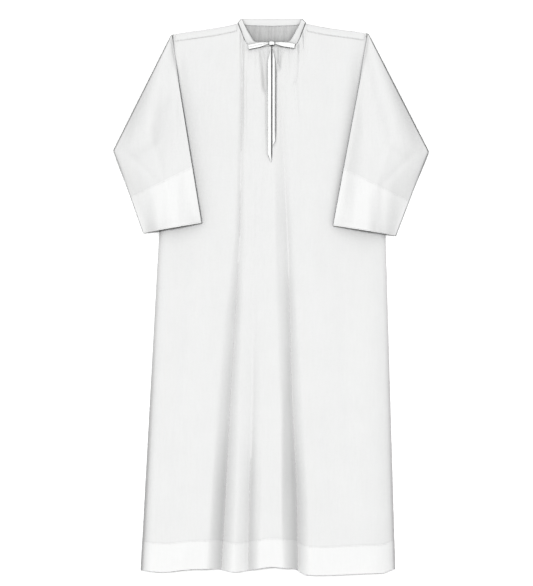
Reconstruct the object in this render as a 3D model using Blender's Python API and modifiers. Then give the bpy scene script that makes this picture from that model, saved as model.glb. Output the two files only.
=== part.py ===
"""An alb laid flat on a table, front up, with both sleeves folded forward over its front.

+X runs across the robe, +Y towards its neck and +Z up from the table. Sizes are in metres.
"""

import math

import bmesh
import bpy
from mathutils import Vector

# Cloth: one layer in the panels and sleeves, two in the bands, facings, collar and ties.
CLOTH = 0.0012
DOUBLE_CLOTH = 0.0016
STRIP_CLOTH = 0.0010
GAP = 0.0003

# Body outline. CENTRE is the x of the slit, which the robe's own middle line follows.
CENTRE = 0.0021
HEM_DEPTH = 0.0765
SHOULDER_FLARE = 0.004
NECK_POINT_OUT = 0.0905
NECK_POINT_Y = 0.7262

SIDE_COLUMNS = ("name", "sign", "hem_x", "underarm", "shoulder", "elbow", "cuff_under", "cuff_over")
SIDE_ROWS = (
    ("left", -1, -0.3455, (-0.2821, 0.4339), (-0.2602, 0.6974), (-0.4180, 0.3916),
     (-0.3390, 0.1689), (-0.1845, 0.1958)),
    ("right", 1, 0.3290, (0.2960, 0.4206), (0.2536, 0.7006), (0.4180, 0.3884),
     (0.3311, 0.1623), (0.1645, 0.1889)),
)

# The hem's lower edge, which waves a little with the folds.
HEM_COLUMNS = ("x", "y")
HEM_ROWS = (
    (-0.346, -0.7270), (-0.286, -0.7310), (-0.190, -0.7230), (-0.150, -0.7225),
    (-0.092, -0.7310), (0.008, -0.7170), (0.055, -0.7220), (0.095, -0.7390),
    (0.125, -0.7400), (0.290, -0.7345), (0.330, -0.7240),
)

# The front neck seam from the shoulder down to the slit, out from the centre line.
NECK_COLUMNS = ("out", "y")
FRONT_NECK_ROWS = (
    (0.0905, 0.7262), (0.0815, 0.6915), (0.0740, 0.6740), (0.0590, 0.6635), (0.0370, 0.6630),
    (0.0, 0.6665),
)
BACK_NECK_ROWS = ((0.0905, 0.7262), (0.0600, 0.7225), (0.0, 0.7205))
NECK_SHARE = 0.34

# The slit down the middle of the front.
SLIT_HALF_GAP = 0.0018
SLIT_END_Y = 0.3580
SLIT_TAPER = 0.030

# Heights of the front's underside. It is lowest at the side seams and highest at the folds.
SIDE_HEIGHT = CLOTH + GAP
PLATEAU_TOP = 0.0035
PLATEAU_HEM = 0.0105
ROLL_WIDTH = {-1: 0.034, 1: 0.055}
SHOULDER_ROLL = 0.045
NECK_LIFT = 0.0045
NECK_LIFT_REACH = 0.085

# Folds of the front. Each starts at its top and grows towards the hem, where it is told in full.
FOLD_COLUMNS = ("name", "top_x", "top_y", "hem_x", "bend", "top_width", "wide_left", "wide_right",
                "top_rise", "hem_rise")
FOLD_ROWS = (
    ("left swell", -0.170, 0.150, -0.189, 1.0, 0.030, 0.050, 0.040, 0.0, 0.0090),
    ("left trough", -0.0746, 0.664, -0.1358, 1.5, 0.008, 0.032, 0.016, -0.0022, -0.0110),
    ("left ridge", -0.0700, 0.300, -0.1039, 1.3, 0.012, 0.014, 0.020, 0.0, 0.0060),
    ("small trough", -0.0507, -0.230, -0.0666, 1.0, 0.012, 0.013, 0.014, 0.0, -0.0045),
    ("middle ridge", 0.0000, 0.420, -0.0030, 1.0, 0.030, 0.038, 0.040, 0.0, 0.0150),
    ("right trough", 0.0238, 0.398, 0.0760, 0.75, 0.012, 0.032, 0.015, -0.0010, -0.0120),
    ("right ridge", 0.0500, 0.300, 0.1060, 0.75, 0.016, 0.016, 0.060, 0.0, 0.0090),
    ("neck crease", 0.0584, 0.664, 0.1500, 1.4, 0.007, 0.012, 0.030, -0.0018, 0.0),
)
HEM_Y = -0.7270

# Sleeves: a flattened tube, rolled over a line from the shoulder point to the elbow corner.
TUBE_GAP = 0.0024
FOLD_HEIGHT = 0.0042
OVER_SHARE = 0.7025
UNDER_SHARE = 0.729
SLEEVE_REST = 0.030
SLEEVE_PUFF = 0.0058
EDGE_LIFT = 0.0040
EDGE_REACH = 0.050
ROLL_FADE = 0.045
BODY_CLEAR = 0.0012
ARMHOLE_GAP = 0.0010
FAN_START = 0.004
ROLL_STEPS = 6
CUTTER_SIZE = 0.8

# Collar sections, out from the centre line, from the front end to the neck point.
COLLAR_COLUMNS = ("seam_out", "seam_y", "free_out", "free_y", "rise")
COLLAR_ROWS = (
    (0.0030, 0.6672, 0.0030, 0.6772, 0.0020), (0.0180, 0.6648, 0.0170, 0.6772, 0.0022),
    (0.0370, 0.6634, 0.0330, 0.6780, 0.0026), (0.0560, 0.6645, 0.0430, 0.6800, 0.0028),
    (0.0690, 0.6705, 0.0530, 0.6905, 0.0026), (0.0780, 0.6850, 0.0650, 0.7060, 0.0022),
    (0.0835, 0.7050, 0.0720, 0.7230, 0.0016), (0.0885, 0.7287, 0.0790, 0.7390, 0.0010),
)
COLLAR_BACK_Y = 0.7395
COLLAR_TURN = 0.0019
BACK_COLLAR_COLUMNS = 6

# Shoulder bands, slit facings and ties.
SHOULDER_BAND = 0.0185
BAND_SET_BACK = 0.0012
FACING_COLUMNS = ("name", "sign", "width", "long_y", "short_y")
FACING_ROWS = (("left", -1, 0.0100, 0.3560, 0.3790), ("right", 1, 0.0062, 0.3970, 0.4130))
FACING_TOP = 0.6560
TIE_COLUMNS = ("name", "root", "end", "root_width", "end_width", "root_z", "end_z")
TIE_ROWS = (
    ("left", (-0.0072, 0.6740), (-0.0605, 0.6632), 0.0075, 0.0128, 0.0170, 0.0150),
    ("right", (0.0116, 0.6738), (0.0632, 0.6660), 0.0075, 0.0126, 0.0170, 0.0150),
)
KNOT_SIZE = (0.0146, 0.0108, 0.0060)
KNOT_PLACE = (0.0021, 0.6732, 0.0178)

PANEL_COLUMNS = 26
FRONT_ROWS = 22
BACK_ROWS = 8
HEM_BAND_ROWS = 2


def rows_of(columns, rows):
    """Turn a table's rows into dictionaries."""
    return [dict(zip(columns, row)) for row in rows]


SIDES = {row["sign"]: row for row in rows_of(SIDE_COLUMNS, SIDE_ROWS)}
FOLDS = rows_of(FOLD_COLUMNS, FOLD_ROWS)


def mix(start, end, share):
    """The value a share of the way from start to end."""
    return start + (end - start) * share


def smooth(value):
    """A soft step from 0 to 1 as value goes from 0 to 1."""
    value = min(1.0, max(0.0, value))
    return value * value * (3.0 - 2.0 * value)


def along(rows, value):
    """Read the second column of a table at a place in its first, with soft steps between rows."""
    if value <= rows[0][0]:
        return rows[0][1]
    for (here, low), (there, high) in zip(rows, rows[1:]):
        if value <= there:
            return mix(low, high, smooth((value - here) / (there - here)))
    return rows[-1][1]


def along_path(points, share):
    """The point a share of the way along a path."""
    lengths = [(Vector(b) - Vector(a)).length for a, b in zip(points, points[1:])]
    left = share * sum(lengths)
    for start, end, length in zip(points, points[1:], lengths):
        if left <= length:
            return Vector(start).lerp(Vector(end), left / length)
        left -= length
    return Vector(points[-1])


def side_x(sign, y):
    """Where the body's side edge lies at a height up the robe."""
    side = SIDES[sign]
    under_x, under_y = side["underarm"]
    top_x, top_y = side["shoulder"]
    if y < under_y:
        return mix(side["hem_x"], under_x, (y - HEM_Y) / (under_y - HEM_Y))
    return mix(under_x, top_x, (y - under_y) / (top_y - under_y))


def shoulder_y(sign, x):
    """The shoulder line, which flares up a little as it meets the collar."""
    end_x, end_y = SIDES[sign]["shoulder"]
    neck_x = CENTRE + sign * NECK_POINT_OUT
    share = (x - end_x) / (neck_x - end_x)
    return mix(end_y, NECK_POINT_Y, share) - SHOULDER_FLARE * math.sin(math.pi * share) * share


def top_outline(u, neck_rows):
    """The panel's top edge, from the slit round the neck seam and along the shoulder."""
    sign = -1 if u < 0 else 1
    reach = abs(u)
    if reach <= NECK_SHARE:
        out, y = along_path(neck_rows[::-1], reach / NECK_SHARE)
        return CENTRE + sign * out, y
    share = (reach - NECK_SHARE) / (1.0 - NECK_SHARE)
    x = mix(CENTRE + sign * NECK_POINT_OUT, SIDES[sign]["shoulder"][0], share)
    return x, shoulder_y(sign, x)


def panel_point(u, v, neck_rows, seam_inset=0.0):
    """A panel's point, u across from -1 to 1 and v up from the hem seam to the top edge."""
    sign = -1 if u < 0 else 1
    foot_x = CENTRE + abs(u) * (side_x(sign, HEM_Y + HEM_DEPTH) - CENTRE)
    foot_y = along(HEM_ROWS, foot_x) + HEM_DEPTH + seam_inset
    top_x, top_y = top_outline(u, neck_rows)
    top_share = (top_x - CENTRE) / (side_x(sign, top_y) - CENTRE)
    y = mix(foot_y, top_y, v)
    x = CENTRE + mix(abs(u), top_share, v) * (side_x(sign, y) - CENTRE)
    return x, y


def hem_point(u, v, inset=0.0):
    """A hem band's point, v up from the hem's edge to the hem seam."""
    sign = -1 if u < 0 else 1
    foot_x = CENTRE + abs(u) * (side_x(sign, HEM_Y + HEM_DEPTH) - CENTRE)
    hem_y = along(HEM_ROWS, foot_x)
    y = mix(hem_y + inset, hem_y + HEM_DEPTH - GAP, v)
    return CENTRE + abs(u) * (side_x(sign, y) - CENTRE), y


def fold_rise(fold, x, y):
    """How far one fold lifts or sinks the front at a place."""
    if y >= fold["top_y"] + 0.02:
        return 0.0
    run = min(1.0, max(0.0, (fold["top_y"] - y) / (fold["top_y"] - HEM_Y)))
    middle = mix(fold["top_x"], fold["hem_x"], run ** fold["bend"])
    wide = fold["wide_left"] if x < middle else fold["wide_right"]
    width = mix(fold["top_width"], wide, run)
    rise = mix(fold["top_rise"], fold["hem_rise"], run ** 0.8)
    begin = smooth((fold["top_y"] + 0.02 - y) / 0.06)
    return rise * begin * math.exp(-(((x - middle) / width) ** 2))


def front_height(x, y):
    """The height of the front panel's underside."""
    sign = -1 if x < CENTRE else 1
    down = min(1.0, max(0.0, (0.70 - y) / (0.70 - HEM_Y)))
    plateau = mix(PLATEAU_TOP, PLATEAU_HEM, smooth(down))
    inside = max(0.0, abs(side_x(sign, y) - x))
    roll = min(1.0, inside / ROLL_WIDTH[sign])
    edge = math.sqrt(1.0 - (1.0 - roll) ** 2)
    below_shoulder = max(0.0, shoulder_y(sign, x) - y)
    if abs(x - CENTRE) < NECK_POINT_OUT:
        below_shoulder = max(below_shoulder, NECK_POINT_OUT - abs(x - CENTRE))
    top_edge = math.sqrt(1.0 - (1.0 - min(1.0, below_shoulder / SHOULDER_ROLL)) ** 2)
    neck_reach = math.hypot(x - CENTRE, (y - 0.67) * 0.6)
    neck = NECK_LIFT * smooth(1.0 - neck_reach / NECK_LIFT_REACH)
    folds = sum(fold_rise(fold, x, y) for fold in FOLDS)
    return SIDE_HEIGHT + max(0.0, plateau + neck + folds) * edge * top_edge


def cloth_material(name, colour, roughness=0.9):
    """A plain white cloth."""
    material = bpy.data.materials.new(name)
    material.use_nodes = True
    shader = material.node_tree.nodes["Principled BSDF"]
    shader.inputs["Base Color"].default_value = (*colour, 1.0)
    shader.inputs["Roughness"].default_value = roughness
    shader.inputs["Metallic"].default_value = 0.0
    return material


def finish_cloth(bm, name, thickness, place, offset=1.0, colour=(0.90, 0.90, 0.91), even=True):
    """Make a named cloth object from an open surface, thickened by Solidify."""
    bmesh.ops.recalc_face_normals(bm, faces=bm.faces)
    if place.get("face_up") and sum(face.normal.z * face.calc_area() for face in bm.faces) < 0:
        bmesh.ops.reverse_faces(bm, faces=bm.faces)
    mesh = bpy.data.meshes.new(name)
    bm.to_mesh(mesh)
    bm.free()
    mesh.materials.append(cloth_material(name + "_cloth", colour))
    obj = bpy.data.objects.new(name, mesh)
    place["collection"].objects.link(obj)
    obj.parent = place["root"]
    wall = obj.modifiers.new("Wall", "SOLIDIFY")
    wall.thickness = thickness
    wall.offset = offset
    wall.use_even_offset = even
    return obj


def grid_surface(columns, rows, locate):
    """An open grid whose points are placed by locate(across, up), each from 0 to 1."""
    bm = bmesh.new()
    bmesh.ops.create_grid(bm, x_segments=columns, y_segments=rows, size=0.5)
    for vert in bm.verts:
        vert.co = Vector(locate(vert.co.x + 0.5, vert.co.y + 0.5))
    return bm


def front_panel(place):
    """The front, with its folds and the slit down its middle."""
    def locate(across, up):
        x, y = panel_point(across * 2.0 - 1.0, up ** 0.85, FRONT_NECK_ROWS)
        return x, y, front_height(x, y)

    bm = grid_surface(PANEL_COLUMNS, FRONT_ROWS, locate)
    middle = [edge for edge in bm.edges
              if all(abs(vert.co.x - CENTRE) < 1e-5 and vert.co.y > SLIT_END_Y - 0.03
                     for vert in edge.verts)]
    lowest = min((vert for edge in middle for vert in edge.verts), key=lambda vert: vert.co.y)
    lowest.co.y = SLIT_END_Y
    bmesh.ops.split_edges(bm, edges=middle)
    for vert in bm.verts:
        if abs(vert.co.x - CENTRE) > 1e-5 or vert.co.y < SLIT_END_Y + 1e-5:
            continue
        face_x = sum(face.calc_center_median().x for face in vert.link_faces) / len(vert.link_faces)
        open_share = smooth((vert.co.y - SLIT_END_Y) / SLIT_TAPER)
        vert.co.x += math.copysign(SLIT_HALF_GAP * open_share, face_x - CENTRE)
    return finish_cloth(bm, "front_panel", CLOTH, place)


def back_panel(place):
    """The back, flat on the table."""
    def locate(across, up):
        x, y = panel_point(across * 2.0 - 1.0, up, BACK_NECK_ROWS)
        return x, y, 0.0

    bm = grid_surface(PANEL_COLUMNS, BACK_ROWS, locate)
    return finish_cloth(bm, "back_panel", CLOTH, place)


def hem_band(place, name, height, inset):
    """A doubled hem, which carries on a panel's surface down to the robe's lower edge."""
    def locate(across, up):
        x, y = hem_point(across * 2.0 - 1.0, up, inset)
        return x, y, height(x, y)

    bm = grid_surface(PANEL_COLUMNS, HEM_BAND_ROWS, locate)
    return finish_cloth(bm, name, CLOTH, place, colour=(0.94, 0.94, 0.95))


class Sleeve:
    """One sleeve's cut, and how it lies once it is rolled forward over the body."""

    def __init__(self, sign):
        side = SIDES[sign]
        self.sign = sign
        self.shoulder = Vector(side["shoulder"])
        corner = Vector(side["elbow"])
        inset = self.outward(corner - self.shoulder) * FOLD_HEIGHT
        self.elbow = corner - inset
        self.normal = self.outward(self.elbow - self.shoulder)
        self.cuff_over = self.mirrored(Vector(side["cuff_over"]))
        self.cuff_under = self.mirrored(Vector(side["cuff_under"]))
        self.underarm = Vector(side["underarm"])

    def outward(self, run):
        """The unit direction square to a line, away from the body."""
        normal = Vector((-run.y, run.x)).normalized()
        return normal if normal.x * self.sign > 0 else -normal

    def beyond(self, point):
        """How far a point lies past the fold line."""
        return (point - self.shoulder).dot(self.normal)

    def mirrored(self, point):
        """A point as it was before the sleeve was folded over, or the other way round."""
        roll = math.pi * (FOLD_HEIGHT - (CLOTH + TUBE_GAP) / 2.0)
        return point - self.normal * (2.0 * self.beyond(point) - roll)

    def over_edge(self, share):
        """A point on the overarm edge, from the shoulder to the cuff's edge."""
        return self.shoulder.lerp(self.cuff_over, share)

    def under_edge(self, share):
        """A point on the underarm seam, from the underarm to the cuff's edge."""
        return self.underarm.lerp(self.cuff_under, share)

    def cross(self, distance):
        """The overarm and underarm ends of the line that lies a distance past the fold."""
        over_gain = self.beyond(self.cuff_over)
        over = self.over_edge(max(0.0, distance) / over_gain)
        start = self.beyond(self.underarm)
        end = self.beyond(self.cuff_under)
        under = self.under_edge((distance - start) / (end - start))
        return over, under

    def sections(self):
        """Lines across the flat sleeve, from the armhole to the cuff's edge."""
        roll = math.pi * (FOLD_HEIGHT - CLOTH / 2.0)
        gap = Vector((self.sign, 0.0)) * ARMHOLE_GAP
        down_armhole = (self.underarm - self.shoulder).normalized() * FAN_START
        first_over, first_under = self.shoulder + down_armhole + gap, self.underarm + gap
        fold_over, fold_under = self.cross(0.0)
        lines = [(first_over.lerp(fold_over + gap, step / 3), first_under.lerp(fold_under, step / 3))
                 for step in range(3)]
        for step in range(ROLL_STEPS + 1):
            over, under = self.cross(roll * step / ROLL_STEPS)
            lines.append((over + gap, under))
        last_over, last_under = lines[-1]
        seam_over, seam_under = self.over_edge(OVER_SHARE), self.under_edge(UNDER_SHARE)
        lines += [(last_over.lerp(seam_over, step / 8), last_under.lerp(seam_under, step / 8))
                  for step in range(1, 9)]
        lines += [(seam_over.lerp(self.cuff_over, step / 3), seam_under.lerp(self.cuff_under, step / 3))
                  for step in range(1, 4)]
        return lines

    def cuff_seam(self):
        """The folded cuff seam's middle, and its direction towards the underarm."""
        over = self.mirrored(self.over_edge(OVER_SHARE))
        under = self.mirrored(self.under_edge(UNDER_SHARE))
        return (over + under) / 2.0, (under - over).normalized()

    def resting_height(self, place):
        """How high the folded sleeve's lower layer lies over the table, the sleeve and the body."""
        on_body = (side_x(self.sign, place.y) - place.x) * self.sign
        upward = self.outward(self.elbow - self.underarm)
        if upward.y < 0.0:
            upward = -upward
        on_sleeve = (place - self.underarm).dot(upward)
        folded = FOLD_HEIGHT * 2.0 - CLOTH / 2.0 - TUBE_GAP
        rest = CLOTH * 0.75
        sleeve_share = smooth(1.0 + on_sleeve / SLEEVE_REST)
        height = mix(rest, folded, sleeve_share)
        body_x = place.x if on_body > 0.0 else side_x(self.sign, place.y)
        body = front_height(body_x, place.y) + CLOTH * 1.5 + BODY_CLEAR
        body += EDGE_LIFT * smooth(on_body / EDGE_REACH)
        body_share = smooth(1.0 + on_body / SLEEVE_REST)
        return max(height, mix(rest, body, body_share))

    def lay(self, point, level, across):
        """Where a point of the flat tube lies once the sleeve is folded over."""
        height = CLOTH / 2.0 + level
        distance = self.beyond(point)
        radius = FOLD_HEIGHT - height
        if distance <= 0.0:
            return Vector((point.x, point.y, height))
        turn = min(math.pi, distance / radius)
        base = point - self.normal * distance
        if turn < math.pi:
            place = base + self.normal * (radius * math.sin(turn))
        else:
            place = base - self.normal * (distance - math.pi * radius)
        rise = FOLD_HEIGHT - radius * math.cos(turn)
        flat = FOLD_HEIGHT * 2.0 - CLOTH / 2.0 - TUBE_GAP
        fade = smooth(distance / ROLL_FADE)
        rise += (self.resting_height(place) - flat) * fade * (turn / math.pi)
        rise += SLEEVE_PUFF * (1.0 - level / TUBE_GAP) * math.sin(math.pi * across) ** 0.7 * fade
        return Vector((place.x, place.y, rise))

    def ring(self, over, under, across_steps=11):
        """One closed ring of the flattened tube, back layer first and front layer after."""
        width = (under - over).length
        direction = (under - over) / width
        half = TUBE_GAP / 2.0
        points = []
        for step in range(across_steps + 1):
            points.append((mix(half, width - half, step / across_steps), 0.0))
        points.append((width - half * 0.13, half * 0.5))
        points.append((width, half))
        points.append((width - half * 0.13, half * 1.5))
        for step in range(across_steps + 1):
            points.append((mix(width - half, half, step / across_steps), TUBE_GAP))
        points.append((half * 0.13, half * 1.5))
        points.append((0.0, half))
        points.append((half * 0.13, half * 0.5))
        return [self.lay(over + direction * run, level, run / width) for run, level in points]


def tube_surface(rings):
    """An open-ended tube through rings of the same number of points."""
    bm = bmesh.new()
    loops = [[bm.verts.new(point) for point in ring] for ring in rings]
    for near, far in zip(loops, loops[1:]):
        for index in range(len(near)):
            after = (index + 1) % len(near)
            bm.faces.new((near[index], near[after], far[after], far[index]))
    return bm


def seam_cutter(place, name, middle, run, toward):
    """A block on one side of a seam, which leaves half the seam's gap."""
    bm = bmesh.new()
    bmesh.ops.create_cube(bm, size=CUTTER_SIZE)
    mesh = bpy.data.meshes.new(name)
    bm.to_mesh(mesh)
    bm.free()
    cutter = bpy.data.objects.new(name, mesh)
    place["cutters"].objects.link(cutter)
    centre = middle + toward * (CUTTER_SIZE / 2.0 - GAP / 2.0)
    cutter.location = (centre.x, centre.y, 0.0)
    cutter.rotation_euler = (0.0, 0.0, math.atan2(run.y, run.x))
    cutter.parent = place["root"]
    cutter.hide_render = True
    cutter.display_type = "WIRE"
    return cutter


def sleeve_and_cuff(place, sign):
    """A sleeve and the doubled cuff at its end, cut from one tube at the cuff seam."""
    sleeve = Sleeve(sign)
    side = SIDES[sign]["name"]
    rings = [sleeve.ring(over, under) for over, under in sleeve.sections()]
    middle, run = sleeve.cuff_seam()
    downward = Vector((-run.y, run.x))
    if downward.y > 0.0:
        downward = -downward
    for name, colour, toward in (("sleeve_" + side, (0.90, 0.90, 0.91), downward),
                                 ("cuff_" + side, (0.94, 0.94, 0.95), -downward)):
        piece = finish_cloth(tube_surface(rings), name, CLOTH, place, 0.0, colour, even=False)
        cut = piece.modifiers.new("Seam", "BOOLEAN")
        cut.operation = "DIFFERENCE"
        cut.solver = "MANIFOLD"
        cut.object = seam_cutter(place, name + "_cutter", middle, run, toward)


def ribbon_surface(lines):
    """An open strip through lines, each a list of points across it."""
    bm = bmesh.new()
    rows = [[bm.verts.new(point) for point in line] for line in lines]
    for near, far in zip(rows, rows[1:]):
        for index in range(len(near) - 1):
            bm.faces.new((near[index], near[index + 1], far[index + 1], far[index]))
    return bm


def collar(place):
    """One band from the knot up the front neck, round behind and down again."""
    half = DOUBLE_CLOTH / 2.0

    def front_lines(sign):
        lines = []
        for row in rows_of(COLLAR_COLUMNS, COLLAR_ROWS):
            seam = Vector((CENTRE + sign * row["seam_out"], row["seam_y"]))
            free = Vector((CENTRE + sign * row["free_out"], row["free_y"]))
            inward = (free - seam).normalized()
            seam = seam + inward * 0.0012
            height = front_height(seam.x, seam.y) + CLOTH + GAP * 2.0 + half
            lines.append([Vector((*seam.lerp(free, share), height + row["rise"] * share))
                          for share in (0.0, 0.5, 1.0)])
        return lines

    def turn_lines(sign, last):
        lines = []
        for angle in (60.0, 0.0, -60.0):
            lift = COLLAR_TURN * math.sin(math.radians(angle))
            bulge = COLLAR_TURN * math.cos(math.radians(angle)) * sign
            lines.append([Vector((point.x + bulge, point.y, half + COLLAR_TURN + lift)) for point in last])
        return lines

    left = front_lines(-1)
    right = front_lines(1)
    for lines in (left, right):
        for point in lines[-1]:
            point.z = half + 2.0 * COLLAR_TURN
    lines = left + turn_lines(-1, left[-1])
    for step in range(BACK_COLLAR_COLUMNS + 1):
        share = step / BACK_COLLAR_COLUMNS
        seam_x = mix(left[-1][0].x, right[-1][0].x, share)
        free_x = mix(left[-1][2].x, right[-1][2].x, share)
        seam_y = along_path(BACK_NECK_ROWS[::-1], abs(2.0 * share - 1.0))[1] + 0.0014
        lines.append([Vector((mix(seam_x, free_x, up), mix(seam_y, COLLAR_BACK_Y, up), half))
                      for up in (0.0, 0.5, 1.0)])
    lines += turn_lines(1, right[-1])[::-1] + right[::-1]
    return finish_cloth(ribbon_surface(lines), "collar", DOUBLE_CLOTH, dict(place, face_up=True),
                        offset=0.0, colour=(0.93, 0.93, 0.94), even=False)


def shoulder_band(place, sign):
    """A doubled strip on the front along the shoulder seam."""
    name = "shoulder_band_" + SIDES[sign]["name"]
    start = CENTRE + sign * (NECK_POINT_OUT + 0.003)
    end = SIDES[sign]["shoulder"][0] - sign * 0.006

    def locate(across, up):
        x = mix(start, end, across)
        y = shoulder_y(sign, x) - BAND_SET_BACK - SHOULDER_BAND * (1.0 - up)
        return x, y, front_height(x, y) + CLOTH + GAP * 2.0

    bm = grid_surface(10, 2, locate)
    return finish_cloth(bm, name, STRIP_CLOTH, place, colour=(0.94, 0.94, 0.95))


def slit_facing(place, row):
    """A doubled strip along one edge of the slit, with a slanted lower end."""
    near = CENTRE + row["sign"] * SLIT_HALF_GAP

    def locate(across, up):
        low = mix(row["long_y"], row["short_y"], across)
        y = mix(low, FACING_TOP, up)
        squeeze = mix(1.0, 0.45, smooth((y - FACING_TOP + 0.035) / 0.035))
        x = near + row["sign"] * row["width"] * across * squeeze
        return x, y, front_height(x, y) + CLOTH + GAP * 2.0

    bm = grid_surface(2, 12, locate)
    return finish_cloth(bm, "slit_facing_" + row["name"], STRIP_CLOTH, place,
                        colour=(0.96, 0.96, 0.96))


def tie(place, row):
    """A flat tie from the knot to its square free end."""
    root, end = Vector(row["root"]), Vector(row["end"])
    run = (end - root).normalized()
    side = Vector((-run.y, run.x))

    def locate(across, up):
        width = mix(row["root_width"], row["end_width"], smooth(up * 2.2))
        flat = root.lerp(end, up) + side * (width * (across - 0.5))
        return flat.x, flat.y, mix(row["root_z"], row["end_z"], up)

    bm = grid_surface(2, 5, locate)
    return finish_cloth(bm, "tie_" + row["name"], STRIP_CLOTH, place, colour=(0.96, 0.96, 0.96))


def tie_knot(place):
    """The small knot that holds both ties."""
    bm = bmesh.new()
    bmesh.ops.create_uvsphere(bm, u_segments=16, v_segments=10, radius=0.5)
    for vert in bm.verts:
        vert.co = Vector([side * size for side, size in zip(vert.co, KNOT_SIZE)])
    mesh = bpy.data.meshes.new("tie_knot")
    bm.to_mesh(mesh)
    bm.free()
    mesh.materials.append(cloth_material("tie_knot_cloth", (0.96, 0.96, 0.96)))
    obj = bpy.data.objects.new("tie_knot", mesh)
    place["collection"].objects.link(obj)
    obj.parent = place["root"]
    obj.location = KNOT_PLACE
    return obj


def build():
    """Clear the scene and make the robe."""
    for old in list(bpy.data.objects):
        bpy.data.objects.remove(old, do_unlink=True)
    collection = bpy.data.collections.new("alb")
    bpy.context.scene.collection.children.link(collection)
    cutters = bpy.data.collections.new("alb_cutters")
    bpy.context.scene.collection.children.link(cutters)
    root = bpy.data.objects.new("alb_root", None)
    collection.objects.link(root)
    place = {"collection": collection, "cutters": cutters, "root": root, "face_up": True}
    front_panel(place)
    back_panel(place)
    hem_band(place, "hem_band_front", front_height, 0.0)
    hem_band(place, "hem_band_back", lambda x, y: 0.0, 0.002)
    for sign in (-1, 1):
        sleeve_and_cuff(dict(place, face_up=False), sign)
        shoulder_band(place, sign)
    collar(place)
    for row in rows_of(FACING_COLUMNS, FACING_ROWS):
        slit_facing(place, row)
    for row in rows_of(TIE_COLUMNS, TIE_ROWS):
        tie(place, row)
    tie_knot(place)


build()
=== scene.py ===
import logging
import math
from dataclasses import dataclass, field
from enum import Enum

import bpy
import numpy as np
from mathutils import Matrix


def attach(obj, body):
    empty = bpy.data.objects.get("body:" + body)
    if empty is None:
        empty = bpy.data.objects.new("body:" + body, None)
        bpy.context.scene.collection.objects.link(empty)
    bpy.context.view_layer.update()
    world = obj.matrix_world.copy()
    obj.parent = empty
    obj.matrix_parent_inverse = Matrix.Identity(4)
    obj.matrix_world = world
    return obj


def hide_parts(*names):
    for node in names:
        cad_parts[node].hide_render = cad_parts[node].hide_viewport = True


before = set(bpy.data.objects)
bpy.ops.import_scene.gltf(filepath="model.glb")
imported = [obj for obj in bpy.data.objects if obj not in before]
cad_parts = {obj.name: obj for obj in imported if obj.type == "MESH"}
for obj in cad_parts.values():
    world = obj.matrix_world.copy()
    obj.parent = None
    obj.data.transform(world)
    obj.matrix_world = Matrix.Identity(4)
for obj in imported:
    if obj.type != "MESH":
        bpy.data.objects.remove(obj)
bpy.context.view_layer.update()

LOG = logging.getLogger("alb")
MM = 0.001
ROOT_BODY = "root"
WAVE_BANDS = 3.18  # A wave pattern of scale 1 has this many bands in each metre.


class Side(Enum):
    """The robe's two sides, as the viewer sees it laid out."""

    LEFT = -1
    RIGHT = 1

    @property
    def word(self) -> str:
        """The side's name as the nodes use it."""
        return self.name.lower()


class Hold(Enum):
    """How a piece of cloth is held, in the frame's words."""

    LAID = "laid"
    FOLDED = "folded"


# ---------------------------------------------------------------- small helpers


def linear(hex_colour: str) -> tuple[float, float, float, float]:
    """Turn an sRGB hex colour into a linear one.

    Args:
        hex_colour: six hex digits, such as "f4f4f5".

    Returns:
        Red, green, blue and alpha, each from 0 to 1.
    """
    channels = [int(hex_colour[place:place + 2], 16) / 255.0 for place in (0, 2, 4)]
    low = [value / 12.92 if value <= 0.04045 else ((value + 0.055) / 1.055) ** 2.4 for value in channels]
    return (low[0], low[1], low[2], 1.0)


def soft_step(value: np.ndarray | float) -> np.ndarray | float:
    """A soft step from 0 to 1 as value goes from 0 to 1."""
    value = np.clip(value, 0.0, 1.0)
    return value * value * (3.0 - 2.0 * value)


def along(rows: tuple, value: np.ndarray | float) -> np.ndarray | float:
    """Read a two-column table at places in its first column, with soft steps between rows.

    Args:
        rows: (place, value) pairs in rising order of place.
        value: where to read it.

    Returns:
        The second column there, held at the table's ends.
    """
    places = np.array([row[0] for row in rows])
    values = np.array([row[1] for row in rows])
    index = np.clip(np.searchsorted(places, value) - 1, 0, len(rows) - 2)
    share = (value - places[index]) / (places[index + 1] - places[index])
    return values[index] + (values[index + 1] - values[index]) * soft_step(share)


def along_path(points: np.ndarray, shares: np.ndarray) -> np.ndarray:
    """Points at shares of a path's length.

    Args:
        points: the path, one point a row.
        shares: how far along, from 0 to 1.

    Returns:
        One point a row for each share.
    """
    steps = np.linalg.norm(np.diff(points, axis=0), axis=1)
    run = np.concatenate([[0.0], np.cumsum(steps)]) / steps.sum()
    return np.stack([np.interp(shares, run, points[:, axis]) for axis in range(points.shape[1])], axis=1)


def smooth_path(points: np.ndarray, count: int) -> np.ndarray:
    """A smooth curve through points, by Catmull-Rom.

    Args:
        points: the points it passes, one a row, of any width.
        count: how many points to return.

    Returns:
        Points on the curve, one a row.
    """
    padded = np.concatenate([[2 * points[0] - points[1]], points, [2 * points[-1] - points[-2]]])
    place = np.linspace(0.0, len(points) - 1.0, count)
    index = np.minimum(place.astype(int), len(points) - 2)
    t = (place - index)[:, None]
    before, start, end, after = (padded[index + step] for step in range(4))
    curve = 2 * start + (end - before) * t + (2 * before - 5 * start + 4 * end - after) * t ** 2
    return 0.5 * (curve + (3 * start - before - 3 * end + after) * t ** 3)


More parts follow.
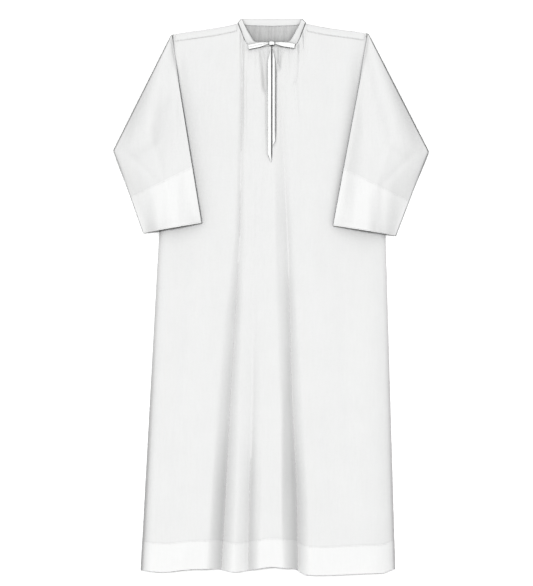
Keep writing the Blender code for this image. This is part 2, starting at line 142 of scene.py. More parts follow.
@dataclass(frozen=True)
class Crease:
    """One soft crease: a line in plan, its width, and how far it lifts or sinks the cloth."""

    start: tuple[float, float]
    end: tuple[float, float]
    width: float
    rise: float
    bow: float = 0.0
    end_fade: float = 0.3
    end_share: float = 0.35

    def height(self, x: np.ndarray, y: np.ndarray) -> np.ndarray:
        """The crease's rise at places.

        Args:
            x: across the robe.
            y: up the robe.

        Returns:
            Heights in metres, fading out at the crease's ends.
        """
        run_x, run_y = self.end[0] - self.start[0], self.end[1] - self.start[1]
        length = math.hypot(run_x, run_y)
        along_it = ((x - self.start[0]) * run_x + (y - self.start[1]) * run_y) / length ** 2
        off = ((x - self.start[0]) * run_y - (y - self.start[1]) * run_x) / length
        off = off - self.bow * np.sin(np.pi * np.clip(along_it, 0.0, 1.0))
        fade = (soft_step(along_it / self.end_fade + self.end_share)
                * soft_step((1.0 - along_it) / self.end_fade + self.end_share))
        return self.rise * fade * np.exp(-((off / self.width) ** 2))


def crease_field(creases: tuple[Crease, ...], x: np.ndarray, y: np.ndarray) -> np.ndarray:
    """The summed rise of several creases."""
    return sum((crease.height(x, y) for crease in creases), np.zeros_like(x))


def joined(halves: dict[Side, np.ndarray]) -> np.ndarray:
    """Join two half grids, each from the middle outwards, into one grid from left to right."""
    return np.concatenate([halves[Side.LEFT][:, ::-1], halves[Side.RIGHT][:, 1:]], axis=1)


# ---------------------------------------------------------------- mesh building


class ClothMesh:
    """Builds thin cloth pieces from sheets of points."""

    @staticmethod
    def from_arrays(name: str, points: np.ndarray, quads: np.ndarray) -> bpy.types.Object:
        """Make a smooth-shaded mesh object.

        Args:
            name: the object's name.
            points: one vertex a row.
            quads: four vertex indices a row.

        Returns:
            The new object, linked to the scene.
        """
        used, quads = np.unique(quads, return_inverse=True)
        mesh = bpy.data.meshes.new(name)
        mesh.from_pydata(points[used].tolist(), [], quads.reshape(-1, 4).tolist())
        mesh.polygons.foreach_set("use_smooth", [True] * len(mesh.polygons))
        mesh.update()
        piece = bpy.data.objects.new(name, mesh)
        bpy.context.scene.collection.objects.link(piece)
        return piece

    @staticmethod
    def quads_of(rows: int, columns: int, closed: bool = False, first: int = 0) -> np.ndarray:
        """Vertex indices of a grid's faces.

        Args:
            rows: how many rows of points.
            columns: how many points in a row.
            closed: whether each row's last point joins its first.
            first: the index of the grid's first vertex.

        Returns:
            Four indices a row, anticlockwise where rows run up and columns run right.
        """
        ids = first + np.arange(rows * columns).reshape(rows, columns)
        right = np.roll(ids, -1, axis=1) if closed else ids[:, 1:]
        here = ids if closed else ids[:, :-1]
        return np.stack([here[:-1], right[:-1], right[1:], here[1:]], axis=-1).reshape(-1, 4)

    @classmethod
    def sheet(cls, name: str, points: np.ndarray, thickness: float, offset: float = 1.0,
              closed: bool = False, rounding: int = 0, crisp_degrees: float = 70.0) -> bpy.types.Object:
        """A wall of cloth on a grid of points.

        Args:
            name: the object's name.
            points: rows by columns by three coordinates.
            thickness: the wall's thickness.
            offset: 1 to thicken towards the normal, 0 to both sides, -1 away from it.
            closed: whether the sheet is a tube.
            rounding: subdivision levels that round its edges.
            crisp_degrees: edges that turn by more than this stay crisp.

        Returns:
            The new object.
        """
        rows, columns = points.shape[:2]
        piece = cls.from_arrays(name, points.reshape(-1, 3), cls.quads_of(rows, columns, closed))
        return cls.thicken(piece, thickness, offset, rounding, crisp_degrees)

    @staticmethod
    def thicken(piece: bpy.types.Object, thickness: float, offset: float = 1.0,
                rounding: int = 0, crisp_degrees: float = 70.0) -> bpy.types.Object:
        """Give an open surface the cloth's thickness, and round its edges if asked.

        Args:
            piece: the open surface.
            thickness: the wall's thickness.
            offset: 1 to thicken towards the normal, 0 to both sides, -1 away from it.
            rounding: subdivision levels that round its edges.
            crisp_degrees: edges that turn by more than this stay crisp.

        Returns:
            The same object.
        """
        wall = piece.modifiers.new("Wall", "SOLIDIFY")
        wall.thickness = thickness
        wall.offset = offset
        if rounding:
            soften = piece.modifiers.new("Soft edges", "SUBSURF")
            soften.levels = rounding
            soften.render_levels = rounding
        return ClothMesh.settle(piece, crisp_degrees)

    @staticmethod
    def settle(piece: bpy.types.Object, crisp_degrees: float = 70.0) -> bpy.types.Object:
        """Apply a piece's modifiers, and keep its cut edges crisp beside its smooth faces.

        Args:
            piece: the object to settle.
            crisp_degrees: edges that turn by more than this stay crisp.

        Returns:
            The same object.
        """
        graph = bpy.context.evaluated_depsgraph_get()
        mesh = bpy.data.meshes.new_from_object(piece.evaluated_get(graph))
        mesh.set_sharp_from_angle(angle=math.radians(crisp_degrees))
        rough, name = piece.data, piece.data.name
        piece.modifiers.clear()
        piece.data = mesh
        bpy.data.meshes.remove(rough)
        mesh.name = name
        return piece


# ---------------------------------------------------------------- finishes


def add_node(tree: bpy.types.NodeTree, kind: str, settings: dict, links: dict) -> bpy.types.Node:
    """Add one shader node.

    Args:
        tree: the material's node tree.
        kind: the node's type name.
        settings: attribute or input to value; an input's name or number follows "in:".
        links: input name or number to the output socket that feeds it.

    Returns:
        The new node.
    """
    node = tree.nodes.new(kind)
    for name, value in settings.items():
        if name.startswith("in:"):
            socket = name[3:]
            node.inputs[int(socket) if socket.isdigit() else socket].default_value = value
        else:
            setattr(node, name, value)
    for name, socket in links.items():
        tree.links.new(socket, node.inputs[name])
    return node


@dataclass(frozen=True)
class WovenCotton:
    """Plain-woven cotton blend, bleached white and pressed: dead matt with a faint nap.

    The real threads are about 0.3 mm apart, too fine to show, so the weave is drawn at
    weave_mm and the thicker slub threads, which the eye does catch, at slub_mm.
    """

    name: str
    light: str
    shade: str
    roughness: float = 0.92
    sheen: float = 0.04
    weave_mm: float = 1.3
    slub_mm: float = 4.5
    slub_stretch: float = 0.12
    patch_mm: float = 90.0
    crumple_mm: float = 34.0
    weave_depth: float = 0.035
    crumple_depth: float = 0.36

    def material(self) -> bpy.types.Material:
        """Build the cloth's material.

        Returns:
            A procedural material whose patterns are sized in real millimetres.
        """
        material = bpy.data.materials.new(self.name)
        material.use_nodes = True
        tree = material.node_tree
        shader = tree.nodes["Principled BSDF"]
        shader.inputs["Roughness"].default_value = self.roughness
        shader.inputs["IOR"].default_value = 1.46
        shader.inputs["Specular IOR Level"].default_value = 0.25
        shader.inputs["Sheen Weight"].default_value = self.sheen
        shader.inputs["Sheen Roughness"].default_value = 0.6
        place = add_node(tree, "ShaderNodeTexCoord", {}, {}).outputs["Object"]
        self._colour(tree, shader, place)
        self._relief(tree, shader, place)
        return material

    def _colour(self, tree: bpy.types.NodeTree, shader: bpy.types.Node,
                place: bpy.types.NodeSocket) -> None:
        """Mottle the white faintly, as pressed cloth of uneven thread does.

        Args:
            tree: the material's node tree.
            shader: its main shader.
            place: the socket that gives places on the cloth, in metres.
        """
        stretch = add_node(tree, "ShaderNodeMapping", {"in:Scale": (1.0, self.slub_stretch, 1.0)},
                           {"Vector": place})
        slubs = add_node(tree, "ShaderNodeTexNoise",
                         {"in:Scale": 1.0 / (self.slub_mm * MM), "in:Detail": 3.0},
                         {"Vector": stretch.outputs["Vector"]})
        patches = add_node(tree, "ShaderNodeTexNoise",
                           {"in:Scale": 1.0 / (self.patch_mm * MM), "in:Detail": 2.0}, {"Vector": place})
        both = add_node(tree, "ShaderNodeMath", {"operation": "ADD"},
                        {0: slubs.outputs["Fac"], 1: patches.outputs["Fac"]})
        ramp = add_node(tree, "ShaderNodeMapRange", {"in:From Min": 0.75, "in:From Max": 1.3},
                        {"Value": both.outputs["Value"]})
        tint = add_node(tree, "ShaderNodeMix",
                        {"data_type": "RGBA", "in:6": linear(self.shade), "in:7": linear(self.light)},
                        {"Factor": ramp.outputs["Result"]})
        tree.links.new(tint.outputs[2], shader.inputs["Base Color"])

    def _relief(self, tree: bpy.types.NodeTree, shader: bpy.types.Node,
                place: bpy.types.NodeSocket) -> None:
        """Raise the crossing threads and the cloth's small pressed-in crumples.

        Args:
            tree: the material's node tree.
            shader: its main shader.
            place: the socket that gives places on the cloth, in metres.
        """
        wave = {"wave_type": "BANDS", "in:Scale": 1.0 / (self.weave_mm * MM) / WAVE_BANDS,
                "in:Distortion": 0.6, "in:Detail": 1.0}
        warp = add_node(tree, "ShaderNodeTexWave", dict(wave, bands_direction="X"), {"Vector": place})
        weft = add_node(tree, "ShaderNodeTexWave", dict(wave, bands_direction="Y"), {"Vector": place})
        weave = add_node(tree, "ShaderNodeMath", {"operation": "ADD"},
                         {0: warp.outputs["Fac"], 1: weft.outputs["Fac"]})
        threads = add_node(tree, "ShaderNodeBump",
                           {"in:Strength": 0.35, "in:Distance": self.weave_depth * MM},
                           {"Height": weave.outputs["Value"]})
        crumple = add_node(tree, "ShaderNodeTexNoise",
                           {"in:Scale": 1.0 / (self.crumple_mm * MM), "in:Detail": 4.0,
                            "in:Roughness": 0.55}, {"Vector": place})
        relief = add_node(tree, "ShaderNodeBump",
                          {"in:Strength": 0.5, "in:Distance": self.crumple_depth * MM},
                          {"Height": crumple.outputs["Fac"], "Normal": threads.outputs["Normal"]})
        tree.links.new(relief.outputs["Normal"], shader.inputs["Normal"])


@dataclass(frozen=True)
class StudioPaper:
    """Matt white background paper, seamless and brighter than the cloth."""

    name: str = "studio_paper"
    colour: str = "fdfdfd"

    def material(self) -> bpy.types.Material:
        """Build the paper's material.

        Returns:
            A plain matt white with no gloss at all.
        """
        material = bpy.data.materials.new(self.name)
        material.use_nodes = True
        shader = material.node_tree.nodes["Principled BSDF"]
        shader.inputs["Base Color"].default_value = linear(self.colour)
        shader.inputs["Roughness"].default_value = 1.0
        shader.inputs["Specular IOR Level"].default_value = 0.0
        return material


# One layer over another: some light sinks through it, so it looks a shade greyer than doubled cloth.
ONE_LAYER = WovenCotton("bleached_cotton_over_a_second_layer", light="e8e8e8", shade="e7e7e7")
# One layer on the table, seen only inside the neck: the greyest cloth. Its grey is partly a single layer's
# own and partly painted shade of the front above it, and its stronger streaky mottle is painted shade of
# its gathers.
BACK_LAYER_PAINTED_SHADE = WovenCotton("bleached_cotton_single_on_the_table", light="dedede", shade="d7d7d7")
# Two layers pressed as one: whiter and smoother than the panels.
TWO_LAYERS = WovenCotton("bleached_cotton_doubled", light="ebebeb", shade="eaeaea", crumple_depth=0.2)
# Close-woven tape: the whitest and smoothest piece, its slubs closer together.
TIE_TAPE = WovenCotton("cotton_tie_tape", light="f0f0f0", shade="efefef", crumple_depth=0.15, slub_mm=2.0)
# Fine twisted thread, with no crumples: a grey-white line, greyer than the tape, its grey painted shade of
# each stitch on itself.
THREAD_WITH_PAINTED_SHADE = WovenCotton("white_sewing_thread", light="ececec", shade="e0e0e0", crumple_depth=0.0,
                            sheen=0.05)


@dataclass
class Wardrobe:
    """Hands out each finish as one shared material, and books each piece into the frame."""

    made: dict[str, bpy.types.Material] = field(default_factory=dict)

    def dress(self, piece: bpy.types.Object, finish: WovenCotton, slot: str,
              nodes: tuple[str, ...] = ()) -> None:
        """Give a piece its finish and its place in the frame.

        Args:
            piece: the finished object.
            finish: the cloth it is made of.
            slot: the record's material slot; not used.
            nodes: the frame's nodes that it stands for.
        """
        if finish.name not in self.made:
            self.made[finish.name] = finish.material()
        piece.data.materials.clear()
        piece.data.materials.append(self.made[finish.name])
        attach(piece, ROOT_BODY)
        if nodes:
            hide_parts(*nodes)
        LOG.info("%s: %d vertices, %s", piece.name, len(piece.data.vertices), finish.name)


# ---------------------------------------------------------------- the robe's cut


@dataclass(frozen=True)
class SideCut:
    """One side's main points in plan, in metres."""

    hem_x: float
    underarm: tuple[float, float]
    shoulder: tuple[float, float]
    elbow: tuple[float, float]
    cuff_under: tuple[float, float]
    cuff_over: tuple[float, float]
    roll_width: float


@dataclass(frozen=True)
class DrapeLine:
    """One ridge or trough of the front: where it runs and how high it lies, at each station."""

    places: tuple[float, ...]
    heights_mm: tuple[float, ...]
    trough: bool = False


@dataclass(frozen=True)
class Drape:
    """The front's large folds: ridges and troughs that fan out from the neck to the hem.

    The cloth rounds over its ridges and falls more steeply towards its troughs.
    """

    # Heights up the robe at which each line's place and height are given.
    stations: tuple[float, ...] = (0.66, 0.40, 0.151, -0.06, -0.2745, -0.5405, -0.727)
    lines: tuple[DrapeLine, ...] = (
        DrapeLine((-0.200, -0.205, -0.215, -0.230, -0.245, -0.252, -0.260),
                  (4.5, 5.5, 8.5, 11.0, 14.0, 17.0, 18.5)),
        DrapeLine((-0.085, -0.090, -0.099, -0.125, -0.144, -0.162, -0.173),
                  (5.0, 5.8, 8.4, 13.0, 18.0, 25.0, 26.0)),
        DrapeLine((-0.0755, -0.079, -0.083, -0.0955, -0.108, -0.1215, -0.132),
                  (2.4, 3.0, 3.6, 3.6, 4.5, 2.4, 3.5), True),
        DrapeLine((-0.067, -0.070, -0.066, -0.074, -0.082, -0.090, -0.101),
                  (5.0, 5.8, 8.0, 12.0, 14.5, 14.5, 17.0)),
        DrapeLine((-0.045, -0.045, -0.045, -0.047, -0.049, -0.058, -0.060),
                  (4.6, 5.4, 7.5, 11.5, 12.6, 6.5, 7.5), True),
        DrapeLine((-0.024, -0.024, -0.024, -0.024, -0.024, -0.025, -0.029),
                  (5.2, 6.0, 9.5, 15.0, 20.0, 24.0, 25.5)),
        DrapeLine((0.003, 0.005, 0.011, 0.016, 0.021, 0.024, 0.029),
                  (4.8, 6.5, 10.5, 16.0, 21.0, 27.0, 28.5)),
        DrapeLine((0.021, 0.032, 0.044, 0.050, 0.056, 0.069, 0.071),
                  (3.6, 2.7, 2.8, 3.4, 4.8, 2.2, 3.0), True),
        DrapeLine((0.042, 0.050, 0.064, 0.074, 0.085, 0.101, 0.104),
                  (4.8, 5.8, 8.8, 12.5, 15.0, 16.5, 17.5)),
        DrapeLine((0.150, 0.152, 0.155, 0.158, 0.161, 0.166, 0.170),
                  (4.5, 5.5, 8.5, 11.0, 14.0, 17.0, 18.5)),
    )
    # How much of the heights is kept, how steep the flanks are, and how rounded the troughs' bottoms.
    loft: float = 0.82
    steepness: float = 1.5
    softness: float = 0.03

    def place(self, line: DrapeLine, y: np.ndarray | float) -> np.ndarray | float:
        """Where a line runs at heights up the robe."""
        return np.interp(y, self.stations[::-1], line.places[::-1])

    def height(self, x: np.ndarray, y: np.ndarray) -> np.ndarray:
        """The drape's height over the side seams.

        Args:
            x: across the robe.
            y: up the robe.

        Returns:
            Heights in metres.
        """
        places = [self.place(line, y) for line in self.lines]
        heights = [along(tuple(zip(self.stations[::-1], line.heights_mm[::-1])), y) for line in self.lines]
        result = np.where(x < places[0], heights[0], heights[-1])
        for index, (line, after) in enumerate(zip(self.lines[:-1], self.lines[1:])):
            start, end = places[index], places[index + 1]
            share = np.clip((x - start) / (end - start), 0.0, 1.0)
            if line.trough:
                eased = self._out_of_trough(share)
            elif after.trough:
                eased = 1.0 - self._out_of_trough(1.0 - share)
            else:
                eased = soft_step(share)
            inside = (x >= start) & (x < end)
            height = heights[index] + (heights[index + 1] - heights[index]) * eased
            result = np.where(inside, height, result)
        return result * MM * self.loft

    def _out_of_trough(self, share: np.ndarray) -> np.ndarray:
        """How far up its flank the cloth is.

        Args:
            share: places from the trough, 0, to the ridge, 1.

        Returns:
            The share of the rise at each place.
        """
        rounded = np.hypot(share, self.softness) - self.softness
        most = math.hypot(1.0, self.softness) - self.softness
        return 1.0 - (1.0 - rounded / most) ** self.steepness


@dataclass(frozen=True)
class RobeCut:
    """The robe's outline and the lie of its front, shared by every piece."""

    cloth: float = 0.0012
    gap: float = 0.0003
    centre: float = 0.0021
    hem_mean_y: float = -0.7270
    hem_depth: float = 0.0765
    neck_point: tuple[float, float] = (0.0905, 0.7262)
    shoulder_flare: float = 0.004
    neck_share: float = 0.34
    slit_half_gap: float = 0.0011
    slit_end_y: float = 0.3580
    slit_taper: float = 0.030
    shoulder_roll: float = 0.045
    edge_fullness: float = 0.62
    crisp_degrees: float = 34.0
    follow_y: float = -0.35
    follow_top_y: float = 0.60
    follow_fade: float = 0.10
    neck_lift: float = 0.0045
    neck_lift_reach: float = 0.085
    neck_lift_y: float = 0.67
    neck_lift_squash: float = 0.6
    sides: dict[Side, SideCut] = field(default_factory=lambda: {
        Side.LEFT: SideCut(
            hem_x=-0.3455, underarm=(-0.2821, 0.4339), shoulder=(-0.2602, 0.6974), elbow=(-0.4180, 0.3916),
            cuff_under=(-0.3390, 0.1689), cuff_over=(-0.1845, 0.1958), roll_width=0.034),
        Side.RIGHT: SideCut(
            hem_x=0.3290, underarm=(0.2960, 0.4206), shoulder=(0.2536, 0.7006), elbow=(0.4180, 0.3884),
            cuff_under=(0.3311, 0.1623), cuff_over=(0.1645, 0.1889), roll_width=0.072),
    })
    hem_line: tuple[tuple[float, float], ...] = (
        (-0.346, -0.7270), (-0.286, -0.7310), (-0.190, -0.7230), (-0.150, -0.7225), (-0.092, -0.7310),
        (0.008, -0.7170), (0.055, -0.7220), (0.095, -0.7390), (0.125, -0.7400), (0.290, -0.7345),
        (0.330, -0.7240),
    )
    front_neck: tuple[tuple[float, float], ...] = (
        (0.0, 0.6665), (0.0370, 0.6635), (0.0545, 0.6650), (0.0665, 0.6725), (0.0745, 0.6870),
        (0.0905, 0.7262),
    )
    back_neck: tuple[tuple[float, float], ...] = ((0.0, 0.7205), (0.0600, 0.7225), (0.0905, 0.7262))
    drape: Drape = field(default_factory=Drape)
    # Each crease: where it starts and ends, its width, its rise, and its bow where it has one.
    creases: tuple[Crease, ...] = (
        Crease((-0.0700, 0.655), (-0.0690, 0.420), 0.0040, 0.0012),
        Crease((0.0650, 0.655), (0.0720, 0.470), 0.0040, 0.0012, 0.003),
        Crease((-0.0350, 0.640), (-0.0400, 0.520), 0.0060, -0.0007),
        Crease((0.0350, 0.640), (0.0380, 0.500), 0.0060, -0.0006),
        Crease((-0.1500, 0.690), (-0.1700, 0.450), 0.0120, -0.0006, 0.006),
        Crease((0.1400, 0.695), (0.1600, 0.480), 0.0140, -0.0006, -0.006),
        Crease((-0.0300, 0.380), (-0.0450, 0.020), 0.0100, 0.0009),
        Crease((0.0100, 0.330), (0.0040, -0.100), 0.0120, 0.0010),
        Crease((0.1100, 0.350), (0.1450, -0.150), 0.0200, 0.0009, 0.010),
        Crease((0.1900, 0.120), (0.2150, -0.420), 0.0180, -0.0010, 0.008),
        Crease((-0.2050, 0.130), (-0.2400, -0.330), 0.0160, -0.0010, -0.006),
        Crease((-0.1500, 0.200), (-0.1750, -0.200), 0.0150, 0.0008),
        Crease((0.0300, -0.250), (0.0250, -0.640), 0.0100, 0.0010),
        Crease((-0.0250, -0.300), (-0.0330, -0.640), 0.0090, -0.0009),
        Crease((0.1500, -0.300), (0.1700, -0.650), 0.0150, -0.0010),
        Crease((0.2300, -0.350), (0.2450, -0.650), 0.0160, 0.0010),
        Crease((-0.2300, -0.300), (-0.2500, -0.650), 0.0150, 0.0010),
        Crease((-0.2900, -0.380), (-0.3050, -0.650), 0.0110, -0.0009),
        Crease((0.0128, 0.650), (0.0116, 0.405), 0.0026, -0.0030),
        Crease((-0.0125, 0.640), (-0.0115, 0.400), 0.0030, -0.0012),
        Crease((-0.0240, 0.662), (-0.0140, 0.540), 0.0080, -0.0052),
        Crease((0.0250, 0.662), (0.0190, 0.600), 0.0065, -0.0044),
        Crease((-0.2620, 0.690), (-0.1900, 0.215), 0.0200, 0.0052),
        Crease((0.2500, 0.690), (0.1790, 0.205), 0.0200, -0.0042),
        Crease((-0.3390, 0.172), (-0.1845, 0.199), 0.0180, 0.0034),
        Crease((0.3311, 0.166), (0.1645, 0.192), 0.0180, 0.0034),
    )

    def side_x(self, side: Side, y: np.ndarray | float) -> np.ndarray | float:
        """Where the body's side edge lies.

        Args:
            side: which edge.
            y: places up the robe.

        Returns:
            The edge's x at each place.
        """
        cut = self.sides[side]
        (arm_x, arm_y), (top_x, top_y) = cut.underarm, cut.shoulder
        low = cut.hem_x + (arm_x - cut.hem_x) * (y - self.hem_mean_y) / (arm_y - self.hem_mean_y)
        high = arm_x + (top_x - arm_x) * (y - arm_y) / (top_y - arm_y)
        return np.where(y < arm_y, low, high)

    def shoulder_y(self, side: Side, x: np.ndarray | float) -> np.ndarray | float:
        """The shoulder line, which flares up a little as it meets the collar.

        Args:
            side: which shoulder.
            x: places across the robe.

        Returns:
            The line's y at each place.
        """
        end_x, end_y = self.sides[side].shoulder
        neck_x = self.centre + side.value * self.neck_point[0]
        share = (x - end_x) / (neck_x - end_x)
        straight = end_y + (self.neck_point[1] - end_y) * share
        return straight - self.shoulder_flare * np.sin(np.pi * share) * share

    def top_edge(self, side: Side, reach: np.ndarray, neck: tuple) -> np.ndarray:
        """A half panel's top edge, from the middle round the neck seam and along the shoulder.

        Args:
            side: which half.
            reach: how far out, from 0 to 1.
            neck: the neck seam, out from the middle.

        Returns:
            Points in plan, one a row.
        """
        on_neck = along_path(np.array(neck), np.clip(reach / self.neck_share, 0.0, 1.0))
        neck_x = self.centre + side.value * on_neck[:, 0]
        share = np.clip((reach - self.neck_share) / (1.0 - self.neck_share), 0.0, 1.0)
        start = self.centre + side.value * self.neck_point[0]
        out_x = start + (self.sides[side].shoulder[0] - start) * share
        x = np.where(reach <= self.neck_share, neck_x, out_x)
        y = np.where(reach <= self.neck_share, on_neck[:, 1], self.shoulder_y(side, out_x))
        return np.stack([x, y], axis=1)

    def hem_foot(self, side: Side, reach: np.ndarray) -> tuple[np.ndarray, np.ndarray]:
        """Where columns stand at the hem seam, and the hem's lower edge below them.

        Args:
            side: which half.
            reach: the columns, out from 0 to 1.

        Returns:
            The columns' x, and the lower edge's y.
        """
        x = self.centre + reach * (self.side_x(side, self.hem_mean_y + self.hem_depth) - self.centre)
        return x, along(self.hem_line, x)

    def follow_troughs(self, side: Side, reach: np.ndarray, share: np.ndarray, y: np.ndarray) -> np.ndarray:
        """Shift a grid's columns sideways, so that one runs down each trough and keeps it clean.

        Args:
            side: which half.
            reach: the columns at the hem, out from 0 to 1.
            share: rows by columns, shares of the way from the middle to the side.
            y: the same places up the robe.

        Returns:
            The new shares.
        """
        marks = []
        for line in self.drape.lines:
            out = self._share_of(side, line, self.follow_y)
            if line.trough and out > 0.0:
                marks.append((int(np.argmin(np.abs(reach - out))), line))
        marks.sort(key=lambda mark: mark[0])
        columns = [0, *(column for column, _ in marks), len(reach) - 1]
        result = share.copy()
        for row, (shares, heights) in enumerate(zip(share, y)):
            strength = soft_step((self.follow_top_y - heights[0]) / self.follow_fade)
            goals = []
            for column, line in marks:
                goal = self._share_of(side, line, heights[column])
                goals.append(shares[column] + (goal - shares[column]) * strength)
            result[row] = np.interp(shares, shares[columns], [shares[0], *goals, shares[-1]])
        return result

    def _share_of(self, side: Side, line: DrapeLine, y: float) -> float:
        """How far out from the middle to the side a line runs; negative on the other half."""
        return float((self.drape.place(line, y) - self.centre) / (self.side_x(side, y) - self.centre))

    def _foot_y(self, side: Side, reach: np.ndarray) -> np.ndarray:
        """The hem's lower edge under each column.

        Args:
            side: which half.
            reach: the columns, out from 0 to 1.

        Returns:
            The edge's y at each column.
        """
        seam_y = self.hem_foot(side, reach)[1] + self.hem_depth
        moved = self.follow_troughs(side, reach, reach[None, :], seam_y[None, :])[0]
        return self.hem_foot(side, moved)[1]

    def half_panel(self, side: Side, reach: np.ndarray, up: np.ndarray, neck: tuple) -> np.ndarray:
        """Half a panel in plan, from the hem seam to its top edge.

        Args:
            side: which half.
            reach: columns, out from 0 to 1.
            up: rows, from 0 to 1.
            neck: the neck seam.

        Returns:
            Rows by columns by x and y.
        """
        foot_y = self._foot_y(side, reach) + self.hem_depth
        top = self.top_edge(side, reach, neck)
        y = foot_y[None, :] + (top[:, 1] - foot_y)[None, :] * up[:, None]
        top_share = (top[:, 0] - self.centre) / (self.side_x(side, top[:, 1]) - self.centre)
        share = reach[None, :] + (top_share - reach)[None, :] * up[:, None]
        share = self.follow_troughs(side, reach, share, y)
        x = self.centre + share * (self.side_x(side, y) - self.centre)
        return np.stack([x, y], axis=-1)

    def half_hem(self, side: Side, reach: np.ndarray, up: np.ndarray, inset: float = 0.0) -> np.ndarray:
        """Half a hem band in plan, from its lower edge to the hem seam.

        Args:
            side: which half.
            reach: columns, out from 0 to 1.
            up: rows, from 0 to 1.
            inset: how far above the hem's edge it starts.

        Returns:
            Rows by columns by x and y.
        """
        hem_y = self._foot_y(side, reach)
        low, high = hem_y + inset, hem_y + self.hem_depth + self.gap
        y = low[None, :] + (high - low)[None, :] * up[:, None]
        share = self.follow_troughs(side, reach, np.broadcast_to(reach, y.shape), y)
        x = self.centre + share * (self.side_x(side, y) - self.centre)
        return np.stack([x, y], axis=-1)

    def front_height(self, x: np.ndarray, y: np.ndarray) -> np.ndarray:
        """The height of the front panel's underside over the table.

        Args:
            x: across the robe.
            y: up the robe.

        Returns:
            Heights in metres, low at the seams and high on the folds.
        """
        result = np.zeros(np.shape(x))
        for side in Side:
            here = (x < self.centre) if side is Side.LEFT else (x >= self.centre)
            result = np.where(here, self._half_height(side, x, y), result)
        return result

    def _half_height(self, side: Side, x: np.ndarray, y: np.ndarray) -> np.ndarray:
        """The front's height, taken from one side's edges.

        Args:
            side: which half.
            x: across the robe.
            y: up the robe.

        Returns:
            Heights in metres, true on that half only.
        """
        inside = np.abs(self.side_x(side, y) - x)
        roll = np.clip(inside / self.sides[side].roll_width, 0.0, 1.0)
        edge = (1.0 - (1.0 - roll) ** 2.0) ** self.edge_fullness
        below = np.maximum(0.0, self.shoulder_y(side, x) - y)
        out = np.abs(x - self.centre)
        below = np.where(out < self.neck_point[0], np.maximum(below, self.neck_point[0] - out), below)
        top_edge = np.sqrt(1.0 - (1.0 - np.clip(below / self.shoulder_roll, 0.0, 1.0)) ** 2)
        reach = np.hypot(x - self.centre, (y - self.neck_lift_y) * self.neck_lift_squash)
        neck = self.neck_lift * soft_step(1.0 - reach / self.neck_lift_reach)
        drape = self.drape.height(x, y)
        relief = crease_field(self.creases, x, y)
        body = np.maximum(0.0, drape + neck + relief) * edge * top_edge
        return self.cloth + self.gap + body


@dataclass
class Gathers:
    """Fine gathers let into the neck seam, which die away down the panel."""

    depth: float = 0.0011
    fall: float = 0.060
    pressed: float = 0.007
    counts: tuple[float, ...] = (11.0, 17.0, 26.0)
    shares: tuple[float, ...] = (0.5, 0.35, 0.3)
    phases: tuple[float, ...] = (0.6, 2.1, 4.4)
    reach: float = 1.15
    reach_fade: float = 0.3

    def height(self, across: np.ndarray, below: np.ndarray) -> np.ndarray:
        """The gathers' rise.

        Args:
            across: place along the neck seam, -1 to 1.
            below: distance below the seam.

        Returns:
            Heights in metres.
        """
        ripple = sum(share * np.cos(np.pi * count * across + phase)
                     for count, share, phase in zip(self.counts, self.shares, self.phases))
        inside = soft_step((self.reach - np.abs(across)) / self.reach_fade)
        pressed = soft_step(below / self.pressed)
        return self.depth * ripple * (inside * pressed) * np.exp(-((below / self.fall) ** 2))


# ---------------------------------------------------------------- body


